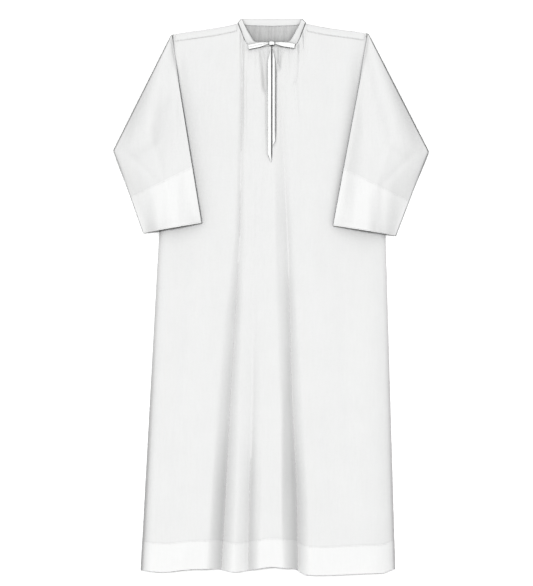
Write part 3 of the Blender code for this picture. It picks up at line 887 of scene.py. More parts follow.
@dataclass
class BodyPanels:
    """The front, with its folds, gathers and slit, and the back that lies on the table."""

    cut: RobeCut
    wardrobe: Wardrobe
    wall: float = 0.0010
    half_columns: int = 90
    rows: int = 250
    column_crowding: float = 1.3
    row_crowding: float = 0.85
    back_half_columns: int = 60
    back_rows: int = 130
    back_row_crowding: float = 0.7
    gathers: Gathers = field(default_factory=Gathers)
    gathers_over: float = 0.002
    gathers_fade: float = 0.003
    slit_spread_reach: float = 0.02
    gathers_within: float = 2.2
    gathers_within_scale: float = 0.8
    gathers_within_shift: float = 0.3
    lift_within: float = 0.0022
    lift_within_fall: float = 0.05
    front_flat: tuple[float, float] = (0.76, 1.40)
    front_area: float = 0.905
    back_flat: tuple[float, float] = (0.76, 1.42)
    back_area: float = 0.93

    def build(self) -> None:
        """Make both panels."""
        self._front()
        self._back()

    def front_surface(self, x: np.ndarray, y: np.ndarray, across: np.ndarray,
                      below: np.ndarray) -> np.ndarray:
        """The front's underside, gathers included.

        Args:
            x: across the robe.
            y: up the robe.
            across: place along the neck seam, -1 to 1.
            below: distance below the seam.

        Returns:
            Heights in metres.
        """
        height = self.cut.front_height(x, y)
        free = soft_step((height - self.gathers_over) / self.gathers_fade)
        return height + self.gathers.height(across, below) * free

    def _half_front(self, side: Side) -> np.ndarray:
        """Half the front's points, from the middle outwards, closer together by the slit.

        Args:
            side: which half.

        Returns:
            Rows by columns by three coordinates.
        """
        reach = np.linspace(0.0, 1.0, self.half_columns + 1) ** self.column_crowding
        up = np.linspace(0.0, 1.0, self.rows) ** self.row_crowding
        plan = self.cut.half_panel(side, reach, up, self.cut.front_neck)
        x, y = plan[..., 0], plan[..., 1]
        below = y[-1][None, :] - y
        across = (reach / self.cut.neck_share)[None, :] * side.value + np.zeros_like(y)
        z = self.front_surface(x, y, across, below)
        spread = self.cut.slit_half_gap * soft_step((y[:, 0] - self.cut.slit_end_y) / self.cut.slit_taper)
        fall = np.exp(-reach / self.slit_spread_reach)[None, :]
        x = x + side.value * spread[:, None] * fall
        return np.stack([x, y, z], axis=-1)

    def _front(self) -> None:
        """Join the two halves below the slit and leave them apart above it."""
        left = self._half_front(Side.LEFT)[:, ::-1]
        right = self._half_front(Side.RIGHT)
        rows, columns = left.shape[:2]
        quads = ClothMesh.quads_of(rows, columns)
        far = ClothMesh.quads_of(rows, columns, first=rows * columns)
        joined = left[:, -1, 1] <= self.cut.slit_end_y
        seam_left = np.arange(rows) * columns + columns - 1
        seam_right = rows * columns + np.arange(rows) * columns
        swap = np.arange(2 * rows * columns)
        swap[seam_right[joined]] = seam_left[joined]
        points = np.concatenate([left.reshape(-1, 3), right.reshape(-1, 3)])
        piece = ClothMesh.from_arrays("front_panel_cloth", points, np.concatenate([quads, swap[far]]))
        ClothMesh.thicken(piece, self.wall, crisp_degrees=self.cut.crisp_degrees)
        self.wardrobe.dress(piece, ONE_LAYER, "panel_cloth", ("front_panel",))

    def _back(self) -> None:
        """The back, whose inside shows in the neck, with its own gathers there."""
        halves = {}
        reach = np.linspace(0.0, 1.0, self.back_half_columns + 1)
        up = np.linspace(0.0, 1.0, self.back_rows) ** self.back_row_crowding
        for side in Side:
            plan = self.cut.half_panel(side, reach, up, self.cut.back_neck)
            x, y = plan[..., 0], plan[..., 1]
            below = y[-1][None, :] - y
            across = (reach / self.cut.neck_share)[None, :] * side.value
            across = across * self.gathers_within_scale + self.gathers_within_shift
            swell = self.gathers_within * self.gathers.height(across, below)
            lift = self.lift_within * np.exp(-below / self.lift_within_fall)
            lift = lift * soft_step(below / self.gathers.pressed)
            halves[side] = np.stack([x, y, np.maximum(0.0, swell + lift)], axis=-1)
        piece = ClothMesh.sheet("back_panel_cloth", joined(halves), self.wall)
        # The back's cloth is greyer than the front's: painted shade of the front over the neck.
        self.wardrobe.dress(piece, BACK_LAYER_PAINTED_SHADE, "panel_cloth", ("back_panel",))


@dataclass
class HemBands:
    """The deep doubled hem, front and back."""

    cut: RobeCut
    wardrobe: Wardrobe
    wall: float = 0.0013
    half_columns: int = 90
    rows: int = 24
    back_inset: float = 0.002
    flat: tuple[float, float] = (0.72, 0.080)

    def build(self) -> None:
        """Make both bands."""
        self._band("front", 0.0)
        self._band("back", self.back_inset)

    def _band(self, word: str, inset: float) -> None:
        """One band, on the front's folds or flat on the table.

        Args:
            word: "front" or "back".
            inset: how far above the hem's edge it starts.
        """
        halves = {}
        reach = np.linspace(0.0, 1.0, self.half_columns + 1)
        for side in Side:
            plan = self.cut.half_hem(side, reach, np.linspace(0.0, 1.0, self.rows), inset)
            x, y = plan[..., 0], plan[..., 1]
            z = self.cut.front_height(x, y) if word == "front" else np.zeros_like(x)
            halves[side] = np.stack([x, y, z], axis=-1)
        piece = ClothMesh.sheet(f"hem_band_{word}_cloth", joined(halves), self.wall,
                                crisp_degrees=self.cut.crisp_degrees)
        self.wardrobe.dress(piece, TWO_LAYERS, "band_cloth", (f"hem_band_{word}",))


# ---------------------------------------------------------------- sleeves


@dataclass
class Sleeve:
    """One sleeve and its cuff: a flattened tube rolled forward over the line from shoulder to elbow."""

    cut: RobeCut
    wardrobe: Wardrobe
    side: Side
    wall: float = 0.0010
    cuff_wall: float = 0.0013
    # The hollow between the flat tube's layers, and the height of the fold's middle.
    tube_gap: float = 0.0024
    fold_height: float = 0.0042
    # Where the cuff seam crosses the overarm edge and the underarm seam, as shares of their lengths.
    over_share: float = 0.7025
    under_share: float = 0.729
    # How the folded part comes to rest: on itself and the table first, and then bridging up to the body.
    rest_reach: float = 0.050
    bridge: float = 0.025
    # The puff between its layers, over the body and beyond it.
    puff_on_body: float = 0.0125
    puff_off_body: float = 0.0235
    # How its inner edge lifts off the body, and how its layers even out past the fold.
    edge_lift: float = 0.0062
    edge_reach: float = 0.050
    roll_fade: float = 0.074
    even_from: float = 0.020
    even_reach: float = 0.100
    # Clearances over the table and the body, in layers of cloth and in metres, and how softly they blend.
    rest_layers: float = 0.75
    body_layers: float = 1.5
    body_clear: float = 0.0012
    blend_rise: float = 0.0006
    blend_reach: float = 0.0009
    # How the puff rounds off towards both edges: full by the fold and softer further on.
    fullness_at_fold: float = 0.45
    fullness_gain: float = 0.95
    fullness_reach: float = 0.16
    # Where the puff changes as it leaves the body, and how much of the creases the lower layer keeps.
    puff_shift: float = 0.6
    puff_reach: float = 0.10
    crease_below: float = 0.3
    # How far off the body's edge the sleeve starts, and how far below the shoulder's end.
    armhole_gap: float = 0.0010
    armhole_start: float = 0.004
    # How many lines and points make the tube.
    lines_before_fold: int = 12
    lines_round_fold: int = 20
    lines_past_fold: int = 105
    lines_of_cuff: int = 46
    layer_steps: int = 58
    edge_steps: int = 6
    # The right sleeve's creases, which the left one mirrors: start, end, width, rise and bow.
    crease_rows: tuple[tuple, ...] = (
        ((0.270, 0.640), (0.255, 0.330), 0.0090, -0.0010, 0.004),
        ((0.330, 0.470), (0.270, 0.270), 0.0120, 0.0012, -0.004),
        ((0.395, 0.390), (0.300, 0.300), 0.0100, -0.0011, 0.003),
        ((0.390, 0.350), (0.330, 0.200), 0.0110, 0.0008, 0.003),
        ((0.230, 0.560), (0.205, 0.300), 0.0070, 0.0009, 0.0),
        ((0.300, 0.300), (0.285, 0.170), 0.0130, -0.0009, 0.0),
        ((0.225, 0.290), (0.215, 0.185), 0.0090, 0.0008, 0.0),
        ((0.350, 0.520), (0.375, 0.400), 0.0100, 0.0009, 0.0),
    )
    sleeve_flat: tuple[float, float] = (0.540, 0.350)
    sleeve_area: float = 0.132
    cuff_flat: tuple[float, float] = (0.376, 0.150)
    cuff_area: float = 0.0434

    def __post_init__(self) -> None:
        """Place the flat sleeve's corners, as they were before it was folded over."""
        side = self.cut.sides[self.side]
        self.shoulder = np.array(side.shoulder)
        self.underarm = np.array(side.underarm)
        corner = np.array(side.elbow)
        self.elbow = corner - self._outward(corner - self.shoulder) * self.fold_height
        self.normal = self._outward(self.elbow - self.shoulder)
        self.cuff_over = self._mirrored(np.array(side.cuff_over))
        self.cuff_under = self._mirrored(np.array(side.cuff_under))

    def _outward(self, run: np.ndarray) -> np.ndarray:
        """The unit direction square to a line, away from the body.

        Args:
            run: the line's direction in plan.

        Returns:
            A unit vector in plan.
        """
        normal = np.array([-run[1], run[0]]) / np.linalg.norm(run)
        return normal if normal[0] * self.side.value > 0 else -normal

    def _beyond(self, points: np.ndarray) -> np.ndarray:
        """How far points lie past the fold line."""
        return (points - self.shoulder) @ self.normal

    def _mirrored(self, point: np.ndarray) -> np.ndarray:
        """A point as it was before the sleeve was folded over.

        Args:
            point: where it lies now.

        Returns:
            The same point on the flat sleeve.
        """
        roll = math.pi * (self.fold_height - (self.cut.cloth + self.tube_gap) / 2.0)
        return point - self.normal * (2.0 * self._beyond(point) - roll)

    def _over(self, share: float) -> np.ndarray:
        """A point on the overarm edge of the flat sleeve."""
        return self.shoulder + (self.cuff_over - self.shoulder) * share

    def _under(self, share: float) -> np.ndarray:
        """A point on the underarm seam of the flat sleeve."""
        return self.underarm + (self.cuff_under - self.underarm) * share

    def _cross(self, distance: float) -> tuple[np.ndarray, np.ndarray]:
        """The line across the flat sleeve that lies a distance past the fold.

        Args:
            distance: how far past the fold line.

        Returns:
            Its overarm end and its underarm end.
        """
        over = self._over(max(0.0, distance) / self._beyond(self.cuff_over))
        start, end = self._beyond(self.underarm), self._beyond(self.cuff_under)
        return over, self._under((distance - start) / (end - start))

    def sleeve_lines(self) -> list[tuple[np.ndarray, np.ndarray]]:
        """Lines across the flat sleeve, from the armhole to the cuff seam.

        Returns:
            Each line's overarm end and underarm end.
        """
        outward = np.array([self.side.value, 0.0]) * self.armhole_gap
        run = self.underarm - self.shoulder
        first_over = self.shoulder + run / np.linalg.norm(run) * self.armhole_start + outward
        first_under = self.underarm + outward
        fold_over, fold_under = self._cross(0.0)
        lines = [(first_over + (fold_over + outward - first_over) * share,
                  first_under + (fold_under - first_under) * share)
                 for share in np.linspace(0.0, 1.0, self.lines_before_fold, endpoint=False)]
        roll = math.pi * (self.fold_height - self.cut.cloth / 2.0)
        for distance in np.linspace(0.0, roll, self.lines_round_fold):
            over, under = self._cross(distance)
            lines.append((over + outward * (1.0 - distance / roll), under))
        last_over, last_under = lines[-1]
        for share in np.linspace(0.0, 1.0, self.lines_past_fold)[1:]:
            lines.append((last_over + (self._over(self.over_share) - last_over) * share,
                          last_under + (self._under(self.under_share) - last_under) * share))
        return lines

    def cuff_lines(self) -> list[tuple[np.ndarray, np.ndarray]]:
        """Lines across the flat cuff, from the cuff seam to its edge.

        Returns:
            Each line's overarm end and underarm end.
        """
        start_over = self._over(self.over_share)
        start_under = self._under(self.under_share)
        return [(start_over + (self.cuff_over - start_over) * share,
                 start_under + (self.cuff_under - start_under) * share)
                for share in np.linspace(0.0, 1.0, self.lines_of_cuff)]

    def _on_body(self, place: np.ndarray) -> np.ndarray:
        """How far inside the body's side edge places are."""
        return (self.cut.side_x(self.side, place[..., 1]) - place[..., 0]) * self.side.value

    def _folded_flat(self) -> float:
        """The lower layer's height once the sleeve is folded flat on itself."""
        return self.fold_height * 2.0 - self.cut.cloth / 2.0 - self.tube_gap

    def _resting(self, place: np.ndarray) -> np.ndarray:
        """How high the lower layer lies over the table, the sleeve beneath and the body.

        Args:
            place: places in plan.

        Returns:
            Heights in metres.
        """
        on_body = self._on_body(place)
        upward = self._outward(self.elbow - self.underarm)
        upward = upward if upward[1] > 0 else -upward
        on_sleeve = (place - self.underarm) @ upward
        rest = self.cut.cloth * self.rest_layers
        height = rest + (self._folded_flat() - rest) * soft_step(1.0 + on_sleeve / self.rest_reach)
        inner_x = self.cut.side_x(self.side, place[..., 1]) - self.side.value * self.bridge
        body_x = np.where(on_body > self.bridge, place[..., 0], inner_x)
        body = self.cut.front_height(body_x, place[..., 1])
        body = body + self.cut.cloth * self.body_layers + self.body_clear
        body = body + self.edge_lift * soft_step(on_body / self.edge_reach)
        rising = soft_step((on_body + self.rest_reach) / (self.rest_reach + self.bridge))
        body = rest + (body - rest) * rising
        high, low = np.maximum(height, body), np.minimum(height, body)
        return high + self.blend_rise * np.exp(-(high - low) / self.blend_reach)

    def _creases(self) -> tuple[Crease, ...]:
        """Soft creases of the folded sleeve, uneven, mostly from the elbow and the shoulder.

        Returns:
            This side's creases, from the rows that both sides share.
        """
        sign = self.side.value
        return tuple(Crease((sign * start[0], start[1]), (sign * end[0], end[1]), width, rise, bow * sign)
                     for start, end, width, rise, bow in self.crease_rows)

    def lay(self, points: np.ndarray, level: np.ndarray, across: np.ndarray) -> np.ndarray:
        """Where points of the flat tube lie once the sleeve is folded over.

        Args:
            points: places in the flat sleeve.
            level: height over the tube's lower layer.
            across: share of the way from the overarm edge to the underarm seam.

        Returns:
            Places in the frame, one a row.
        """
        height = self.cut.cloth / 2.0 + level
        distance = self._beyond(points)
        radius = self.fold_height - height
        turn = np.clip(distance / radius, 0.0, math.pi)
        base = points - self.normal * distance[..., None]
        past = np.where(turn < math.pi, radius * np.sin(turn), -(distance - math.pi * radius))
        evened = math.pi * (self.fold_height - (self.cut.cloth + self.tube_gap) / 2.0 - radius)
        past = past + evened * soft_step((distance - self.even_from) / self.even_reach)
        past = np.where(distance <= 0.0, distance, past)
        place = base + self.normal * past[..., None]
        folded = self.fold_height - radius * np.cos(turn)
        fade = soft_step(distance / self.roll_fade)
        rise = folded + (self._resting(place) - self._folded_flat()) * fade * (turn / math.pi)
        share = 1.0 - level / self.tube_gap
        fullness = self.fullness_at_fold + self.fullness_gain * soft_step(distance / self.fullness_reach)
        swell = np.clip(np.sin(math.pi * np.clip(across, 0.0, 1.0)), 0.0, 1.0) ** fullness
        inside = soft_step(self._on_body(place) / self.puff_reach + self.puff_shift)
        puff = self.puff_off_body + (self.puff_on_body - self.puff_off_body) * inside
        opening = 1.0 - (1.0 - np.clip(distance / self.roll_fade, 0.0, 1.0)) ** 2
        rise = rise + puff * share * swell * opening
        soft = crease_field(self._creases(), place[..., 0], place[..., 1])
        rise = rise + soft * fade * swell * (self.crease_below + (1.0 - self.crease_below) * share)
        rise = np.where(distance <= 0.0, height, rise)
        return np.concatenate([place, rise[..., None]], axis=-1)

    def rings(self, lines: list[tuple[np.ndarray, np.ndarray]]) -> np.ndarray:
        """Closed rings of the flattened tube: back layer, underarm edge, front layer, overarm edge.

        Args:
            lines: each ring's overarm end and underarm end on the flat sleeve.

        Returns:
            Rings by points by three coordinates.
        """
        half = self.tube_gap / 2.0
        turn = np.linspace(-math.pi / 2.0, math.pi / 2.0, self.edge_steps + 2)[1:-1]
        rings = []
        for over, under in lines:
            width = float(np.linalg.norm(under - over))
            straight = np.linspace(half, width - half, self.layer_steps + 1)
            run = np.concatenate([straight, width - half + half * np.cos(turn),
                                  straight[::-1], half - half * np.cos(turn)])
            level = np.concatenate([np.zeros_like(straight), half + half * np.sin(turn),
                                    np.full_like(straight, self.tube_gap), half - half * np.sin(turn)])
            points = over + (under - over) / width * run[:, None]
            rings.append(self.lay(points, level, run / width))
        return np.array(rings)

    def top_line(self, lines: list[tuple[np.ndarray, np.ndarray]], index: int, count: int) -> np.ndarray:
        """Points along the upper layer of one line across the sleeve, for stitching.

        Args:
            lines: lines across the flat sleeve.
            index: which line.
            count: how many points.

        Returns:
            Points in the frame, one a row.
        """
        over, under = lines[index]
        share = np.linspace(0.01, 0.99, count)
        points = over + (under - over) * share[:, None]
        return self.lay(points, np.zeros(count), share)

    def build(self) -> None:
        """Make the sleeve and its cuff."""
        self._tube("sleeve", self.sleeve_lines(), self.wall, ONE_LAYER, "panel_cloth")
        self._tube("cuff", self.cuff_lines(), self.cuff_wall, TWO_LAYERS, "band_cloth")

    def _tube(self, word: str, lines: list[tuple[np.ndarray, np.ndarray]], wall: float, finish: WovenCotton,
              slot: str) -> None:
        """Make one tube of cloth.

        Args:
            word: "sleeve" or "cuff".
            lines: lines across it on the flat sleeve.
            wall: the cloth's thickness.
            finish: the cloth it is made of.
            slot: the record's material slot.
        """
        node = f"{word}_{self.side.word}"
        piece = ClothMesh.sheet(f"{node}_cloth", self.rings(lines), wall, 0.0, True)
        self._face_out(piece)
        self.wardrobe.dress(piece, finish, slot, (node,))

    def _face_out(self, piece: bpy.types.Object) -> None:
        """Turn a tube's faces outwards; its rings run the other way round on the robe's other side."""
        if self.side is Side.LEFT:
            piece.data.flip_normals()


# ---------------------------------------------------------------- neck


@dataclass
class Collar:
    """The narrow doubled stand band: down both front neck edges and round behind, inside out to view."""

    cut: RobeCut
    wardrobe: Wardrobe
    wall: float = 0.0011
    overlap: float = 0.0010
    turn: float = 0.0019
    back_y: float = 0.7395
    # Each section, out from the middle: the seam edge, the free edge, and how far that one rises.
    sections: tuple[tuple[float, ...], ...] = (
        (0.0030, 0.6672, 0.0030, 0.6772, 0.0020), (0.0180, 0.6650, 0.0170, 0.6772, 0.0022),
        (0.0370, 0.6640, 0.0330, 0.6775, 0.0026), (0.0540, 0.6660, 0.0460, 0.6790, 0.0028),
        (0.0655, 0.6735, 0.0535, 0.6890, 0.0026), (0.0735, 0.6880, 0.0625, 0.7040, 0.0022),
        (0.0800, 0.7060, 0.0715, 0.7220, 0.0016), (0.0880, 0.7287, 0.0790, 0.7390, 0.0010),
    )
    crown: float = 0.0007
    turn_degrees: float = 70.0
    flat: tuple[float, float] = (0.40, 0.020)
    across_steps: int = 8
    front_steps: int = 44
    turn_steps: int = 9
    back_steps: int = 40

    def front_lines(self, side: Side) -> np.ndarray:
        """Sections of one front half, from the knot to the neck point.

        Args:
            side: which half.

        Returns:
            The seam edge's three coordinates and the free edge's, one section a row.
        """
        lines = []
        for seam_out, seam_y, free_out, free_y, rise in self.sections:
            seam = np.array([self.cut.centre + side.value * seam_out, seam_y])
            free = np.array([self.cut.centre + side.value * free_out, free_y])
            seam = seam - (free - seam) / np.linalg.norm(free - seam) * self.overlap
            height = float(self.cut.front_height(seam[0], seam[1])) + self.cut.cloth
            lines.append([*seam, height, *free, height + rise])
        lines[-1][2] = lines[-1][5] = self.wall / 2.0 + 2.0 * self.turn
        return np.array(lines)

    def build(self) -> None:
        """Make the band in one piece."""
        left, right = self.front_lines(Side.LEFT), self.front_lines(Side.RIGHT)
        lines = np.concatenate([
            smooth_path(left, self.front_steps),
            self._turn(left[-1], Side.LEFT),
            self._behind(left[-1], right[-1]),
            self._turn(right[-1], Side.RIGHT)[::-1],
            smooth_path(right, self.front_steps)[::-1],
        ])
        share = np.linspace(0.0, 1.0, self.across_steps + 1)[None, :, None]
        points = lines[:, None, :3] * (1.0 - share) + lines[:, None, 3:] * share
        points[..., 2] += self.crown * np.sin(np.pi * share[..., 0])
        piece = ClothMesh.sheet("collar_cloth", points, self.wall, 0.0, rounding=1)
        self.wardrobe.dress(piece, ONE_LAYER, "band_cloth", ("collar",))

    def _turn(self, last: np.ndarray, side: Side) -> np.ndarray:
        """The half turn at a neck point, from the front layer down to the back layer.

        Args:
            last: the front half's last section.
            side: which half.

        Returns:
            Sections, one a row.
        """
        rows = []
        for angle in np.radians(np.linspace(self.turn_degrees, -self.turn_degrees, self.turn_steps)):
            row = last.copy()
            row[[0, 3]] += self.turn * math.cos(angle) * side.value
            row[[2, 5]] = self.wall / 2.0 + self.turn * (1.0 + math.sin(angle))
            rows.append(row)
        return np.array(rows)

    def _behind(self, left: np.ndarray, right: np.ndarray) -> np.ndarray:
        """The back of the band, flat on the table with its inside up.

        Args:
            left: the left half's last section.
            right: the right half's last section.

        Returns:
            Sections from left to right, one a row.
        """
        share = np.linspace(0.0, 1.0, self.back_steps)
        out = np.abs(2.0 * share - 1.0)
        seam_y = along_path(np.array(self.cut.back_neck), out)[:, 1] - self.overlap
        rest = np.full_like(share, self.wall / 2.0)
        seam_x = left[0] + (right[0] - left[0]) * share
        free_x = left[3] + (right[3] - left[3]) * share
        free_y = np.full_like(share, self.back_y)
        return np.stack([seam_x, seam_y, rest + self.overlap, free_x, free_y, rest], axis=1)


@dataclass
class ShoulderBands:
    """The doubled strip on the front along each shoulder seam."""

    cut: RobeCut
    wardrobe: Wardrobe
    depth: float = 0.0185
    set_back: float = 0.0006
    wall: float = 0.0005
    from_neck: float = 0.003
    from_armhole: float = 0.006
    flat: tuple[float, float] = (0.170, 0.0185)
    columns: int = 80
    rows: int = 7

    def points(self, side: Side) -> np.ndarray:
        """The strip's underside.

        Args:
            side: which shoulder.

        Returns:
            Rows, from the lower edge up, by columns by three coordinates.
        """
        start = self.cut.centre + side.value * (self.cut.neck_point[0] + self.from_neck)
        end = self.cut.sides[side].shoulder[0] - side.value * self.from_armhole
        x = np.linspace(start, end, self.columns)[None, :] + np.zeros((self.rows, 1))
        up = np.linspace(0.0, 1.0, self.rows)[:, None]
        y = self.cut.shoulder_y(side, x) - self.set_back - self.depth * (1.0 - up)
        z = self.cut.front_height(x, y) + self.cut.cloth
        return np.stack([x, y, z], axis=-1)

    def build(self) -> None:
        """Make both strips."""
        for side in Side:
            points = self.points(side)[:, ::side.value]
            piece = ClothMesh.sheet(f"shoulder_band_{side.word}_cloth", points, self.wall)
            self.wardrobe.dress(piece, ONE_LAYER, "band_cloth", (f"shoulder_band_{side.word}",))


@dataclass(frozen=True)
class StripCut:
    """One facing: which edge it binds, its width, and where its slanted end lies inside and outside."""

    side: Side
    width: float
    inner_y: float
    outer_y: float


@dataclass
class SlitFacings:
    """The doubled strips down both edges of the slit, drawn in under the knot."""

    cut: RobeCut
    wardrobe: Wardrobe
    top_y: float = 0.6560
    wall: float = 0.0009
    draw_in: float = 0.45
    draw_reach: float = 0.035
    crown: float = 0.0006
    outer_lift: float = 0.0024
    least_flat: float = 0.0100
    drawn_share: float = 0.92
    columns: int = 7
    rows: int = 120
    strips: tuple[StripCut, ...] = (
        StripCut(Side.LEFT, 0.0100, 0.3560, 0.3790),
        StripCut(Side.RIGHT, 0.0080, 0.3970, 0.4150),
    )

    def points(self, strip: StripCut) -> np.ndarray:
        """One strip's underside.

        Args:
            strip: which strip.

        Returns:
            Rows, from its slanted end up to the knot, by columns by three coordinates.
        """
        across = np.linspace(0.0, 1.0, self.columns)[None, :]
        up = np.linspace(0.0, 1.0, self.rows)[:, None]
        low = strip.inner_y + (strip.outer_y - strip.inner_y) * across
        y = low + (self.top_y - low) * up
        near_knot = soft_step((y - self.top_y + self.draw_reach) / self.draw_reach)
        squeeze = 1.0 - (1.0 - self.draw_in) * near_knot
        x = self.cut.centre + strip.side.value * (self.cut.slit_half_gap + strip.width * across * squeeze)
        z = self.cut.front_height(x, y) + self.cut.cloth + self.cut.gap
        z = z + self.crown * np.sin(np.pi * across) + self.outer_lift * across ** 2
        return np.stack([x, y, z], axis=-1)

    def build(self) -> None:
        """Make both strips."""
        for strip in self.strips:
            points = self.points(strip)[:, ::strip.side.value]
            node = f"slit_facing_{strip.side.word}"
            piece = ClothMesh.sheet(f"{node}_cloth", points, self.wall, rounding=1)
            self.wardrobe.dress(piece, TIE_TAPE, "tie_tape", (node,))


@dataclass(frozen=True)
class TieCut:
    """One tie's free end: from the knot to its square end, with widths and heights at both."""

    side: Side
    root: tuple[float, float]
    end: tuple[float, float]
    end_width: float
    root_width: float = 0.0070
    root_z: float = 0.0172
    end_z: float = 0.0150


@dataclass
class Ties:
    """Two narrow ties knotted at the neck, with their square free ends."""

    cut: RobeCut
    wardrobe: Wardrobe
    wall: float = 0.0012
    knot_place: tuple[float, float, float] = (0.0021, 0.6732, 0.0178)
    knot_size: tuple[float, float, float] = (0.0168, 0.0120, 0.0062)
    knot_turns: int = 40
    knot_rings: int = 28
    knot_squareness: float = 5.0
    # Each crease across the knot: its depth, its place and its width, as shares of the knot.
    knot_creases: tuple[tuple[float, float, float], ...] = ((0.07, 0.25, 0.10), (0.05, -0.40, 0.12))
    knot_wobble: float = 0.05
    knot_waves: tuple[float, float] = (3.0, 4.0)
    knot_weld: float = 0.00005
    widens_by: float = 0.5
    arch: float = 0.0016
    pinch: float = 0.0011
    pinch_fade: float = 2.5
    columns: int = 9
    steps: int = 40
    flat: tuple[float, float] = (0.013, 0.060)
    ends: tuple[TieCut, ...] = (
        TieCut(Side.LEFT, (-0.0062, 0.6740), (-0.0605, 0.6632), 0.0128),
        TieCut(Side.RIGHT, (0.0106, 0.6738), (0.0632, 0.6660), 0.0126),
    )

    def ribbon(self, tie: TieCut) -> np.ndarray:
        """One tie's underside, drawn in and rounded at the knot and flat at its end.

        Args:
            tie: which tie.

        Returns:
            Rows, from the knot to the end, by columns by three coordinates.
        """
        start, stop = np.array(tie.root), np.array(tie.end)
        run = (stop - start) / np.linalg.norm(stop - start)
        side = np.array([-run[1], run[0]])
        up = np.linspace(0.0, 1.0, self.steps)[:, None]
        across = np.linspace(-0.5, 0.5, self.columns)[None, :]
        width = tie.root_width + (tie.end_width - tie.root_width) * soft_step(up / self.widens_by)
        plan = start + (stop - start) * up[..., None] + side * (width * across)[..., None]
        arch = self.arch * np.sin(np.pi * up) * (1.0 - up)
        pinch = self.pinch * (1.0 - soft_step(up * self.pinch_fade)) * np.cos(np.pi * across * 2.0)
        z = tie.root_z + (tie.end_z - tie.root_z) * up + arch + pinch
        return np.concatenate([plan, z[..., None]], axis=-1)

    def build(self) -> None:
        """Make both ties and the knot."""
        for tie in self.ends:
            points = self.ribbon(tie)[:, ::-tie.side.value]
            node = f"tie_{tie.side.word}"
            piece = ClothMesh.sheet(f"{node}_cloth", points, self.wall, rounding=1)
            self.wardrobe.dress(piece, TIE_TAPE, "tie_tape", (node,))
        self._knot()

    def _knot(self) -> None:
        """The knot: a wrap of tape pulled round the two ties, creased across."""
        around = np.linspace(0.0, 2.0 * math.pi, self.knot_turns, endpoint=False)[None, :]
        side = np.linspace(-1.0, 1.0, self.knot_rings)[:, None]
        bulge = np.clip(1.0 - np.abs(side) ** self.knot_squareness, 0.0, 1.0) ** 0.5
        crease = np.ones_like(side)
        for depth, place, width in self.knot_creases:
            crease = crease - depth * np.exp(-((side - place) / width) ** 2)
        round_it, along_it = self.knot_waves
        wobble = 1.0 + self.knot_wobble * np.cos(round_it * around + along_it * side)
        reach = bulge * crease * wobble
        x = self.knot_place[0] + side * self.knot_size[0] * 0.5 + np.zeros_like(around)
        y = self.knot_place[1] + reach * np.cos(around) * self.knot_size[1] * 0.5
        z = self.knot_place[2] + reach * np.sin(around) * self.knot_size[2] * 0.5
        points = np.stack([x, y, z], axis=-1)
        quads = ClothMesh.quads_of(self.knot_rings, self.knot_turns, closed=True)
        piece = ClothMesh.from_arrays("tie_knot_cloth", points.reshape(-1, 3), quads)
        weld = piece.modifiers.new("Close ends", "WELD")
        weld.merge_threshold = self.knot_weld
        ClothMesh.settle(piece)
        self.wardrobe.dress(piece, TIE_TAPE, "tie_tape", ("tie_knot",))


# ---------------------------------------------------------------- stitching


